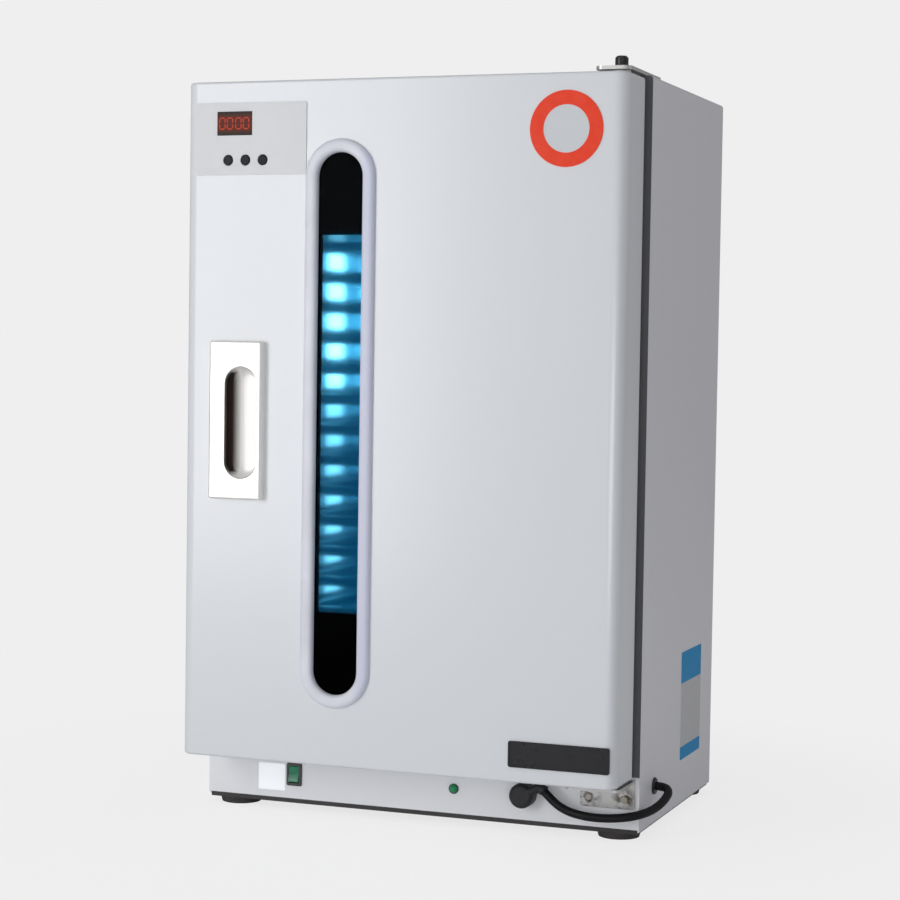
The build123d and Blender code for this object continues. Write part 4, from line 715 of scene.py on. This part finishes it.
# %% Place the stickers
RIGHTWARD, BACKWARD, UPWARD = (1, 0, 0), (0, 1, 0), (0, 0, 1)
PAPER = 0.00012
SIDE_LABEL_WIDTH, SIDE_LABEL_HEIGHT, SIDE_LABEL_CORNER = 0.072, 0.100, 0.002
SIDE_LABEL_PLACE = (0.2065, 0.0825, 0.098)
SWITCH_LABEL_WIDTH, SWITCH_LABEL_HEIGHT, SWITCH_LABEL_CORNER = 0.0262, 0.0244, 0.0008
SWITCH_LABEL_PLACE = (-0.1428, -0.0890, 0.0288)
side_size = (SIDE_LABEL_WIDTH, SIDE_LABEL_HEIGHT, PAPER, SIDE_LABEL_CORNER)
side_label = thin_plate("side_label", *side_size, SIDE_LABEL_PLACE, BACKWARD, UPWARD)
switch_size = (SWITCH_LABEL_WIDTH, SWITCH_LABEL_HEIGHT, PAPER, SWITCH_LABEL_CORNER)
switch_label = thin_plate("switch_label", *switch_size, SWITCH_LABEL_PLACE, RIGHTWARD, UPWARD)
for label in (side_label, switch_label):
    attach(label, "cabinet")
print("labels", side_label.name, switch_label.name)

# %% [markdown]
# ## Paper
#
# The larger sticker's bands are part of its paper's colour, a share of its height at the top and
# at the foot. The small one's paper is whiter, and it gives off a faint bluish light of its own:
# painted light that keeps it bright in the shade under the door.

# %% Banded paper
UPPER_BAND, LOWER_BAND = 0.287 * SIDE_LABEL_HEIGHT, 0.12 * SIDE_LABEL_HEIGHT
BAND_EDGE = 0.0003
label_top = SIDE_LABEL_PLACE[2] + SIDE_LABEL_HEIGHT / 2
label_foot = SIDE_LABEL_PLACE[2] - SIDE_LABEL_HEIGHT / 2
upper_start, lower_end = label_top - UPPER_BAND, label_foot + LOWER_BAND
material, tree, shader = finish("label_paper", (0.69, 0.69, 0.70), 0.5)
upper = between(tree, along(tree, "Z"), 0.0, 1.0, upper_start - BAND_EDGE, upper_start)
lower = between(tree, along(tree, "Z"), 1.0, 0.0, lower_end, lower_end + BAND_EDGE)
band = math_node(tree, "ADD", upper, lower)
fibres = between(tree, noise(tree, 800.0, detail=5.0), 0.0, 1.0)
paper = mixed(tree, fibres, (0.66, 0.66, 0.67), (0.72, 0.72, 0.73))
ink = mixed(tree, fibres, (0.02, 0.31, 0.66), (0.04, 0.37, 0.76))
feed(tree, shader, "Base Color", mixed(tree, band, paper, ink))
shader.inputs["Specular IOR Level"].default_value = 0.05
uneven_gloss(tree, shader, 300.0, 0.38, 0.55)
bumps(tree, shader, 1500.0, 0.3, 0.00002)
side_label.data.materials.append(material)
print("bands", round(UPPER_BAND, 4), round(LOWER_BAND, 4))

# %% Bright paper
material, tree, shader = finish("bright_paper", (0.93, 0.93, 0.95), 0.45)
drift(tree, shader, 900.0, (0.90, 0.90, 0.925), (0.95, 0.95, 0.97))
uneven_gloss(tree, shader, 400.0, 0.38, 0.52)
bumps(tree, shader, 1600.0, 0.3, 0.00002)
# Painted light: the paper glows faintly so that it stays bright in the shade under the door.
emit(tree, shader, (0.9, 0.95, 1.0), 0.30)
switch_label.data.materials.append(material)
print("paper", material.name)

# %% [markdown]
# ## Digits on the display
#
# A timer shows plain seven-segment digits. Each lit bar is a small plate a few hundredths of a
# millimetre proud of the filter. Lettering could be a text object, but bars of a fixed size
# look like the real display, and the four zeros need only one small loop.

# %% Digits
DISPLAY_FACE = -0.1559
DIGIT_SHIFTS = (-0.0118, -0.0044, 0.0038, 0.0112)
BAR, DIGIT_WIDTH, DIGIT_HEIGHT = 0.0011, 0.0052, 0.0096
BAR_PROUD, BAR_CORNER = 0.00004, 0.0003
half_w, half_h = DIGIT_WIDTH / 2, DIGIT_HEIGHT / 2
ZERO_BARS = (
    (0, half_h, DIGIT_WIDTH - BAR, BAR),
    (0, -half_h, DIGIT_WIDTH - BAR, BAR),
    (-half_w, half_h / 2, BAR, half_h - BAR),
    (half_w, half_h / 2, BAR, half_h - BAR),
    (-half_w, -half_h / 2, BAR, half_h - BAR),
    (half_w, -half_h / 2, BAR, half_h - BAR),
)
bars = []
for index, shift in enumerate(DIGIT_SHIFTS):
    for dx, dz, wide, high in ZERO_BARS:
        name = f"bar_{index}_{len(bars)}"
        centre = (DISPLAY_X + shift + dx, DISPLAY_FACE, DISPLAY_Z + dz)
        size = (wide, high, BAR_PROUD, BAR_CORNER)
        bars.append(thin_plate(name, *size, centre, RIGHTWARD, UPWARD))
digits = bars[0]
with bpy.context.temp_override(active_object=digits, selected_editable_objects=bars):
    bpy.ops.object.join()
digits.name = "timer_digits"
material, tree, shader = finish("lit_bars", (0.45, 0.06, 0.03), 0.5)
shader.inputs["Specular IOR Level"].default_value = 0.05
emit(tree, shader, (0.75, 0.07, 0.04), between(tree, noise(tree, 900.0), 0.15, 0.30))
digits.data.materials.clear()
digits.data.materials.append(material)
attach(digits, "door")
print("digits", len(digits.data.polygons), "faces")

# %% [markdown]
# ## Floor and backdrop
#
# The picture has one even pale ground. The floor is a large matt sheet that takes the cabinet's
# soft shadow. Away from the cabinet it fades into the backdrop's own tone, so no horizon shows.
# The backdrop's tone is what the camera and the glass see, while the light that falls on the
# cabinet from the room is dimmer. Mirrored surfaces see a quarter of the difference.

# %% What the camera sees
BACKDROP = (0.862, 0.862, 0.862)
MIRRORED = 0.26


def seen_share(tree):
    """1 where the camera or the glass looks, a part of that in a mirror, and 0 for lighting."""
    ray = node(tree, "ShaderNodeLightPath")
    looked_at = math_node(
        tree, "MAXIMUM", ray.outputs["Is Camera Ray"], ray.outputs["Is Transmission Ray"]
    )
    in_mirrors = product(tree, ray.outputs["Is Glossy Ray"], MIRRORED)
    return math_node(tree, "MAXIMUM", looked_at, in_mirrors)


print("backdrop", BACKDROP, "mirrored share", MIRRORED)

# %% Floor
FLOOR_REACH, FLOOR_CELLS = 9.0, 8
SHADOW_SHARE, PULP, FLOOR_GLOW = 0.20, 0.004, 0.755
FADE_START, FADE_END = 0.30, 0.62
mesh = bmesh.new()
bmesh.ops.create_grid(mesh, x_segments=FLOOR_CELLS, y_segments=FLOOR_CELLS, size=FLOOR_REACH)
data = bpy.data.meshes.new("floor")
mesh.to_mesh(data)
mesh.free()
floor = bpy.data.objects.new("floor", data)
scene.collection.objects.link(floor)
material, tree, shader = finish("floor_paper", (0.80, 0.80, 0.80), 0.9)
shader.inputs["Specular IOR Level"].default_value = 0.1
seen = seen_share(tree)
pulp = between(tree, noise(tree, 6.0), 0.0, 1.0)
lit_paper = mixed(tree, pulp, (0.91, 0.91, 0.91), (0.93, 0.93, 0.93))
seen_paper = mixed(tree, pulp, (SHADOW_SHARE - PULP,) * 3, (SHADOW_SHARE + PULP,) * 3)
feed(tree, shader, "Base Color", mixed(tree, seen, lit_paper, seen_paper))
emit(tree, shader, (1.0, 1.0, 1.0), product(tree, seen, FLOOR_GLOW))
floor.data.materials.append(material)
print("floor", floor.name)

# %% Fade the floor into the backdrop
ground = node(tree, "ShaderNodeEmission", Color=(*BACKDROP, 1.0))
far = length(tree, along(tree, "X"), along(tree, "Y"))
fade = between(tree, far, 0.0, 1.0, FADE_START, FADE_END)
blend = node(tree, "ShaderNodeMixShader")
tree.links.new(product(tree, fade, seen), blend.inputs["Fac"])
tree.links.new(shader.outputs["BSDF"], blend.inputs[1])
tree.links.new(ground.outputs["Emission"], blend.inputs[2])
tree.links.new(blend.outputs["Shader"], tree.nodes["Material Output"].inputs["Surface"])
print("floor fades from", FADE_START, "to", FADE_END)

# %% World
ROOM_COLOR, ROOM_STRENGTH = (0.97, 0.98, 1.0), 0.24
world = bpy.data.worlds.new("studio")
scene.world = world
world.use_nodes = True
tree = world.node_tree
room = tree.nodes["Background"]
room.inputs["Color"].default_value = (*ROOM_COLOR, 1.0)
room.inputs["Strength"].default_value = ROOM_STRENGTH
backdrop = node(tree, "ShaderNodeBackground", Color=(*BACKDROP, 1.0))
blend = node(tree, "ShaderNodeMixShader")
tree.links.new(seen_share(tree), blend.inputs["Fac"])
tree.links.new(room.outputs["Background"], blend.inputs[1])
tree.links.new(backdrop.outputs["Background"], blend.inputs[2])
tree.links.new(blend.outputs["Shader"], tree.nodes["World Output"].inputs["Surface"])
print("world", world.name)

# %% [markdown]
# ## Lights
#
# A large soft box at the left front lights the door and is mirrored in the left half of its
# enamel, which draws the soft upright edge down the middle. A low one in front reaches under the
# door, and two high above fill the top. The right side has only the room and a faint box far off.
# Area lights are used, because their size alone sets how soft a shadow or a reflection is.


# %% Soft boxes
def soft_box(name, place, target, width, height, watts, color):
    """A rectangular light at place that faces target."""
    data = bpy.data.lights.new(name, "AREA")
    data.shape = "RECTANGLE"
    data.size = width
    data.size_y = height
    data.energy = watts
    data.color = color
    made = bpy.data.objects.new(name, data)
    turned = (Vector(place) - Vector(target)).to_track_quat("Z", "Y").to_matrix().to_4x4()
    made.matrix_world = Matrix.Translation(place) @ turned
    scene.collection.objects.link(made)


WHITE, COOL, BLUISH = (1.0, 1.0, 1.0), (0.98, 0.99, 1.0), (0.98, 0.98, 1.0)
soft_box("left_box", (-1.00, -1.835, 0.66), (0.0, -0.10, 0.42), 0.75, 1.30, 14.0, WHITE)
soft_box("low_box", (0.85, -2.20, 0.20), (0.05, -0.16, 0.16), 1.2, 0.5, 8.5, COOL)
soft_box("high_box", (-0.60, -1.20, 2.40), (0.0, -0.10, 0.30), 1.0, 1.0, 3.0, COOL)
soft_box("top_box", (0.0, 0.50, 2.30), (0.0, 0.20, 0.66), 0.8, 0.8, 1.4, COOL)
soft_box("right_box", (2.00, 0.35, 0.70), (0.20, 0.0, 0.35), 0.9, 1.2, 1.5, BLUISH)
scene.view_settings.view_transform = "Standard"
print("lights", [light.name for light in bpy.data.lights])
